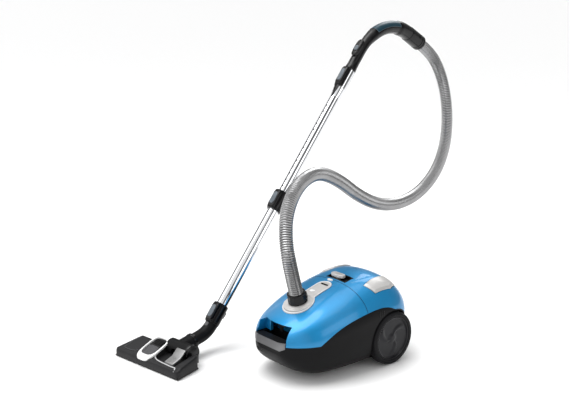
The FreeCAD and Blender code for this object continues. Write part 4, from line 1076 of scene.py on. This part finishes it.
@dataclass
class BentHandle:
    """The bent handle with its ribs, pod, insert and thick end."""

    radius: float = 17.0
    grip_radius: float = 20.4
    thick: float = 24.0
    insert_from: float = 25.0
    insert_to: float = 57.0
    insert_wrap: float = 82.0
    insert_slant: float = 12.8
    insert_rows: int = 40

    def grip_radius_at(self, degrees: float) -> float:
        """The pipe's radius at an angle along the bend, before its thick end."""
        return self.radius + (self.grip_radius - self.radius) * smooth_step(9.0, 26.0, degrees)

    def pipe(self) -> Object:
        """Make the pipe: straight foot, bend, and a thicker end over the swivel."""
        stations: list[tuple[float, float]] = [(-75.0, 17.6), (-73.0, 18.2), (-60.0, 18.0),
            (-58.0, 17.2), (-40.0, 17.0), (-20.0, 17.0)]
        rings = []
        for z, radius in stations:
            rings.append([HANDLE @ mm(radius * sin(turn), -radius * cos(turn), z)
                for turn in turns(56)])
        for step in range(51):
            angle = radians(BEND_TURN * step / 50)
            degrees = math.degrees(angle)
            grow = self.grip_radius_at(degrees) - self.radius
            grow += smooth_step(56.5, 58.5, degrees) * (self.thick - self.grip_radius)
            neck = -0.8 * smooth_step(57.8, 58.6, degrees) * (1 - smooth_step(59.4, 60.2, degrees))
            ribs = 0.55 * max(0.0, sin(degrees * 3.4)) if 13 < degrees < 23.5 else 0.0
            rings.append([bend_point(angle, turn, self.radius + grow + neck
                + (ribs if cos(turn) > -0.4 else 0.0)) for turn in turns(56)])
        last = radians(BEND_TURN)
        rings.append([bend_point(last, turn, 14.0) for turn in turns(56)])
        return piece_from("bent_handle", ring_sweep(rings), BLACK, "handle", 30,
            stands_for="handle_pipe")

    def insert_at(self, step: int) -> tuple[float, float, float]:
        """Angle along the bend, half wrap and pipe radius at one of the insert's rows."""
        angle = radians(self.insert_from + (self.insert_to - self.insert_from) * step
            / self.insert_rows)
        wrap = radians(self.insert_wrap - self.insert_slant * (1 - step / self.insert_rows))
        return angle, wrap, self.grip_radius_at(math.degrees(angle))

    def insert(self) -> list[Object]:
        """Make the glossy insert and the fine line round it."""
        rings = []
        for step in range(self.insert_rows + 1):
            angle, wrap, radius = self.insert_at(step)
            arc = [-wrap + 2 * wrap * index / 28 for index in range(29)]
            outer = [bend_point(angle, turn, radius + 0.9) for turn in arc]
            rings.append(outer + [bend_point(angle, turn, radius - 0.8) for turn in reversed(arc)])
        made = piece_from("grip_insert_shell", ring_sweep(rings), TEAL, "handle", 30,
            stands_for="grip_insert")
        edges = []
        for way in (-1, 1):
            path = []
            for step in range(self.insert_rows + 1):
                angle, wrap, radius = self.insert_at(step)
                path.append(bend_point(angle, way * wrap, radius + 0.7))
            edges.append(strip(path, 0.4, 8))
        for step in (0, self.insert_rows):
            angle, wrap, radius = self.insert_at(step)
            path = [bend_point(angle, -wrap + 2 * wrap * index / 30, radius + 0.7)
                for index in range(31)]
            edges.append(strip(path, 0.45, 8))
        line = piece_from("grip_insert_line", joined(edges), GREY, "handle")
        return [made, line]

    def pod(self) -> list[Object]:
        """Make the regulator's oval pod and its sliding button."""
        turn = math.degrees(math.atan2(4.0, BEND))
        pod_at = HANDLE @ place(0, -self.radius + 3.5, 4, "X", 90 - turn)
        base = piece_from("regulator_pod", pillow(pod_at, 12.5, 32, 9.5, 2.7, 3.0), BLACK, "handle")
        rim = []
        for angle in turns(60):
            across, along = cos(angle), sin(angle)
            local = mm(9.8 * squared(across, 0.8), 25.5 * squared(along, 0.8), 9.3)
            rim.append(pod_at @ local)
        rim_made = piece_from("regulator_pod_rim", strip(rim, 0.8, 8, closed=True), CHARCOAL, "handle")
        key_at = pod_at @ place(0, -4, 8.6)
        meshes = [pillow(key_at, 7.4, 9.5, 4.2, 2.4, 1.0)]
        for index in range(3):
            meshes.append(pillow(key_at @ place(0, (index - 1) * 4.0, 3.6), 5.0, 0.8, 1.3, 2.4, 0.4,
                20))
        key = piece_from("regulator_button", joined(meshes), GREY, "air_slider",
            stands_for="air_slider")
        return [base, rim_made, key]

    def build(self) -> list[Object]:
        """Make every piece of the handle."""
        return [self.pipe(), *self.insert(), *self.pod()]


@dataclass
class SwivelCuff:
    """Black cuff that holds the hose to the handle, with end rings and a clip."""

    length: float = 84.0
    radius: float = 26.0

    def build(self) -> list[Object]:
        """Make the cuff and its round clip."""
        radius, length = self.radius, self.length
        profile = [(17.6, 0.5), (radius - 2.0, 0.5), (radius - 0.8, 1.6), (radius - 0.4, 6),
            (radius - 0.2, 34), (radius, 52), (radius, length - 26), (radius - 1.2, length - 25),
            (radius - 1.2, length - 22), (radius + 0.3, length - 21), (radius + 0.3, length - 15),
            (radius - 1.2, length - 14), (radius - 1.2, length - 11), (radius + 0.1, length - 10),
            (radius + 0.1, length - 4), (radius - 1.6, length - 1.5), (radius - 4.0, length),
            (20.3, length)]
        made = piece_from("handle_cuff", lathe(profile, HANDLE_END), BLACK, "hose", 32,
            stands_for="hose_swivel_cuff")
        spot = HANDLE_END @ place(0, 0, 46, "Z", -18) @ place(radius - 0.9, 0, 0, "Y", 90)
        button = piece_from("handle_cuff_clip", joined([pillow(spot, 8.0, 6.4, 1.8, 2.0, 1.0),
            pillow(spot @ place(0, 0, 1.2), 4.2, 3.2, 1.5, 2.0, 0.5, 24)]), CHARCOAL, "hose")
        return [made, button]


# ------------------------------------------------------------------ floor head
@dataclass
class FloorHead:
    """The combination floor head: cover, frame, rocker, pedal and cheek."""

    half: float = 131.0
    rear_half: float = 117.0
    depth: float = 92.0
    base: float = 5.8
    ring_centre: float = -17.0
    ring_half: float = 30.0

    def half_at(self, t: float) -> float:
        """Half width of the cover at a distance behind its front edge."""
        half = self.half + (self.rear_half - self.half) * t / self.depth
        corner = 9.0
        if t < corner:
            half -= corner - math.sqrt(max(0.0, corner ** 2 - (corner - t) ** 2))
        if t > self.depth - corner:
            over = t - (self.depth - corner)
            half -= corner - math.sqrt(max(0.0, corner ** 2 - over ** 2))
        return half

    def rim_line(self, s: float) -> float:
        """Where the scoop's rim runs: distance behind the front edge for a place across."""
        return 11.0 + 26.0 * math.exp(-max(0.0, s - 2.0) / 13.0) + 0.035 * max(0.0, 90 - s)

    def height(self, s: float, t: float) -> float:
        """Height of the cover's top at a point."""
        deck = 27.0 + (t - 9.0) * 13.0 / 77.0
        if t < 9.0:
            deck = 13.0 + 14.0 * math.sqrt(max(0.0, 1 - (1 - t / 9.0) ** 2))
        hump = smooth_step(-56.0, -44.0, s) * (1 - smooth_step(2.0, 12.0, s))
        crest = max(0.0, t - 6.0) * 0.185 * hump
        across = abs((s - self.ring_centre) / (self.ring_half - 2.0)) ** 3.2
        along = abs((t - 48.0) / 41.0) ** 3.2
        well = 8.0 * (1 - smooth_step(0.75, 1.0, across + along))
        left = smooth_step(-112.0, -106.0, s) * (1 - smooth_step(-62.0, -56.0, s))
        panel = left * smooth_step(13.0, 17.0, t) * (1 - smooth_step(80.0, 85.0, t)) * 2.2
        inside = smooth_step(0.0, 4.5, t - self.rim_line(s)) * smooth_step(4.0, 10.0, s)
        inside *= 1 - smooth_step(97.0, 104.0, s)
        scoop = 11.0 * inside
        block = 2.5 * smooth_step(99.0, 106.0, s) * smooth_step(10.0, 16.0, t)
        edge = min((self.half_at(t) - abs(s)) / 7.0, (self.depth - t) / 7.0, 1.0)
        round_off = 6.0 * (1 - math.sqrt(max(0.0, 1 - (1 - max(edge, 0.0)) ** 2)))
        return deck + crest - well + panel - scoop + block - round_off

    def cover(self) -> Object:
        """Make the moulded cover as a closed shell on the sole."""
        columns, rows = 190, 64
        width = columns + 1
        parts = [row / rows for row in range(rows + 1)]
        ticks = [self.depth * (part ** 1.25 * 0.75 + part * 0.25) for part in parts]
        grid = [(self.half_at(t) * (-1 + 2 * column / columns), t) for t in ticks
            for column in range(width)]
        vertices = [TOOL @ mm(s, t, self.height(s, t)) for s, t in grid]
        lower = len(vertices)
        vertices += [TOOL @ mm(s, t, self.base) for s, t in grid]
        faces = []
        for row in range(rows):
            for column in range(columns):
                corner = row * width + column
                quad = [corner, corner + 1, corner + width + 1, corner + width]
                faces.append(quad)
                faces.append([lower + index for index in reversed(quad)])
        border = list(range(width))
        border += [row * width + columns for row in range(1, rows + 1)]
        border += [rows * width + column for column in reversed(range(columns))]
        border += [row * width for row in reversed(range(1, rows))]
        for index, here in enumerate(border):
            after = border[(index + 1) % len(border)]
            faces.append([after, here, lower + here, lower + after])
        return piece_from("head_moulding", mesh_from(vertices, faces), HEAD, "head", 38,
            stands_for="head_cover")

    def on_top(self, s: float, t: float, lift: float) -> Vector:
        """A point a little above the cover."""
        return TOOL @ mm(s, t, self.height(s, t) + lift)

    def ring_height(self, t: float) -> float:
        """Height of the white frame's top at a distance behind the front edge."""
        return 26.0 + 3.4 * smooth_step(-2, 10, t) + max(0.0, t - 4) * 0.36

    def ring(self) -> Object:
        """Make the white oval frame, broad at the front and thin along its sides."""
        rings = []
        for turn in turns(96):
            across, along = cos(turn), sin(turn)
            outer_s = self.ring_half * squared(across, 0.62)
            outer_t = 45.0 + 47.5 * squared(along, 0.62)
            inner_s = (self.ring_half - 5.0) * squared(across, 0.58)
            inner_t = 49.0 + 35.0 * squared(along, 0.58)
            top = self.ring_height(outer_t)
            top_in = self.ring_height(inner_t)
            section = ((outer_s, outer_t, top - 5.0), (outer_s, outer_t, top - 1.0),
                (outer_s * 0.985, outer_t * 0.985 + 0.7, top), (inner_s * 1.02, inner_t * 1.01 - 0.5,
                top_in + 0.6), (inner_s, inner_t, top_in), (inner_s, inner_t, top_in - 5.0))
            rings.append([TOOL @ mm(self.ring_centre + s, t, z) for s, t, z in section])
        return piece_from("white_frame", ring_sweep(rings, closed=True), WHITE, "head", 34,
            stands_for="ring_trim")

    def rocker(self) -> list[Object]:
        """Make the well floor, the studded rocker and the ribs behind it."""
        meshes = []
        slope = math.degrees(math.atan(0.36))
        plate_at = TOOL @ place(self.ring_centre, 34, self.ring_height(34) - 4.2, "X", slope)
        meshes.append(pillow(plate_at, 20.0, 20.5, 3.2, 5.0, 2.0))
        for row in range(9):
            for column in range(9):
                spot = plate_at @ place((column - 4) * 4.1, (row - 4) * 4.1, 2.9)
                meshes.append(pillow(spot, 1.4, 1.4, 0.9, 2.0, 0.3, 8))
        made = piece_from("studded_rocker", joined(meshes), GREY_DARK, "head",
            stands_for="window_insert")
        ribs = []
        for index in range(4):
            spot = plate_at @ place(0, 30 + index * 5.2, 0.4)
            ribs.append(pillow(spot, 17.0, 1.4, 2.6, 4.0, 3.0, 24))
        rib_made = piece_from("rocker_ribs", joined(ribs), BLACK, "head")
        well_at = TOOL @ place(self.ring_centre, 50, self.ring_height(50) - 5.6, "X", slope)
        well = piece_from("rocker_well", pillow(well_at, 24, 41, 1.6, 5.0, 3.0), BLACK, "head")
        return [made, rib_made, well]

    def pedal(self) -> Object:
        """Make the two-facet silver foot pedal with finger-deep ribs."""
        rings = []
        line = ((17.0, 28.0), (18.0, 31.5), (46.0, 39.8), (48.0, 40.8), (64.0, 55.5), (66.5, 56.5),
            (67.5, 54.5), (50.0, 37.5), (20.0, 27.0))
        for s, pinch in ((59.0, 1.6), (59.8, 0.5), (61.0, 0.0), (90.0, 0.0), (91.2, 0.5), (92.0, 1.6)):
            ring = []
            for t, z in line:
                ring.append(TOOL @ mm(s, t + (pinch if t < 30 else -pinch * 0.5), z - pinch * 0.7))
            rings.append(ring)
        meshes = [ring_sweep(rings)]
        for index in range(4):
            spot = TOOL @ place(75.5, 24.5 + index * 5.4, 33.2 + index * 1.6, "X", 16.5)
            meshes.append(pillow(spot, 12.0, 0.9, 1.3, 3.0, 0.5, 20))
        return piece_from("foot_pedal", joined(meshes), PEDAL_GREY, "pedal", 30,
            stands_for="brush_pedal")

    def trims(self) -> list[Object]:
        """Lay the scoop's light rim, the left panel's line and the drum's end cheek."""
        path = []
        for t in (84.0, 76.0, 68.0, 60.0, 52.0, 44.0):
            path.append(self.on_top(3.4, t, 0.6))
        for index in range(61):
            s = 5.0 + 104.0 * (index / 60) ** 1.5
            path.append(self.on_top(s, self.rim_line(s) + 0.4, 0.6))
        path += [TOOL @ mm(112.5, t, z) for t, z in ((7.0, 25.5), (2.5, 20.0))]
        rim = piece_from("scoop_rim", strip(even_points(path, 0.002), 1.8, 10), RIM, "head")
        side = []
        for s, t in ((-104, 76), (-106, 60), (-108, 40), (-109, 22), (-104, 14.5), (-88, 14),
                (-72, 14.5), (-62, 17), (-58, 24)):
            side.append(self.on_top(s, t, 0.5))
        panel = piece_from("left_panel_line", strip(even_points(side, 0.002), 0.7, 8), GREY_DARK,
            "head")
        cheek_at = DRUM @ place(84.8, 0, 0, "Y", 90)
        profile = [(0.0, 0.0), (25.0, 0.0), (25.0, 8.0), (24.2, 9.6), (22.6, 10.2), (21.4, 9.4),
            (20.6, 9.4), (12.0, 10.8), (6.0, 11.3), (0.0, 11.4)]
        cap = lathe(profile, cheek_at)
        spokes = [pillow(cheek_at @ place(0, 0, 10.6, "Z", 45 + 90 * index), 18.5, 0.7, 0.7, 3.0, 1.0,
            20) for index in range(2)]
        cheek = piece_from("drum_cheek", joined([cap, *spokes]), BLACK, "head", 30)
        foot_at = DRUM @ place(90.8, 0, -20)
        foot = piece_from("cheek_foot", pillow(foot_at, 5.6, 21.0, 16.0, 6.0, 12.0), HEAD, "head")
        return [rim, panel, cheek, foot]

    def build(self) -> list[Object]:
        """Make every piece of the head."""
        return [self.cover(), self.ring(), *self.rocker(), self.pedal(), *self.trims()]


@dataclass
class NeckRings:
    """A collar ring where the neck meets the elbow, and rib rings on the neck."""

    def build(self) -> list[Object]:
        """Make the rings."""
        collar = lathe([(18.5, 43), (22.9, 43), (23.3, 44), (23.3, 51), (22.7, 52.2), (18.5, 52.2)],
            NECK)
        made = piece_from("neck_collar", collar, BLACK, "neck")
        rings = []
        for index in range(3):
            z = 8 + index * 9
            rings.append(lathe([(20.5, z), (22.4, z), (22.7, z + 1), (22.4, z + 2), (20.5, z + 2)],
                NECK))
        ribs = piece_from("neck_ribs", joined(rings), CHARCOAL, "neck")
        return [made, ribs]


# ------------------------------------------------------------------ the frame's own pieces
def dress_frame() -> None:
    """Give every carried-over node the finish of its material slot."""
    slots = {row["node"]: row["material_slot"] for row in frame["record"]["subparts"]}
    for name, node in frame["nodes"].items():
        finish = SLOT_FINISH[slots[name]]
        if not node.material_slots:
            node.data.materials.append(finish.material())
        if name == "bumper_band":
            finish = BAND
        for held in node.material_slots:
            held.material = finish.material()


def main() -> None:
    """Build the studio, then every assembly, and report each piece."""
    logging.basicConfig(level=logging.INFO, format="%(message)s")
    dress_frame()
    Studio().build()
    LOG.info("made %s", CorrugatedHose().build().name)
    adjuster = TubeClip("adjuster_shell", "lower_wand", "adjuster_sleeve", 338, 402, 17.7, 21.5, 12,
        27.5, "adjuster_key", "adjuster_button", "adjuster")
    clip = TubeClip("flare_clip", "handle", "handle_clip", 796, 864, 19.0, 21.9, 11, 27.5,
        "release_key", "handle_release", "handle_release", open_back=True)
    foot = TubeClip("connector_shell", "lower_wand", "wand_connector", -48, 14, 17.7, 21.0, 12, 27.0,
        "foot_key", "floor_head_release", "head_release")
    assemblies = (RearWheel(Side.RIGHT), RearWheel(Side.LEFT), RearPedal(Side.RIGHT, "power_pedal"),
        RearPedal(Side.LEFT, "rewind_pedal"), InletTrim(), HoseCuff(), PowerSlider(), FrontGrip(),
        LidGapShade(), ArchRibs(), DustBag(), adjuster, clip, foot, WandHook(), BentHandle(), SwivelCuff(),
        FloorHead(), NeckRings())
    for assembly in assemblies:
        for made in assembly.build():
            LOG.info("made %s", made.name)


if __name__ == "__main__":
    main()
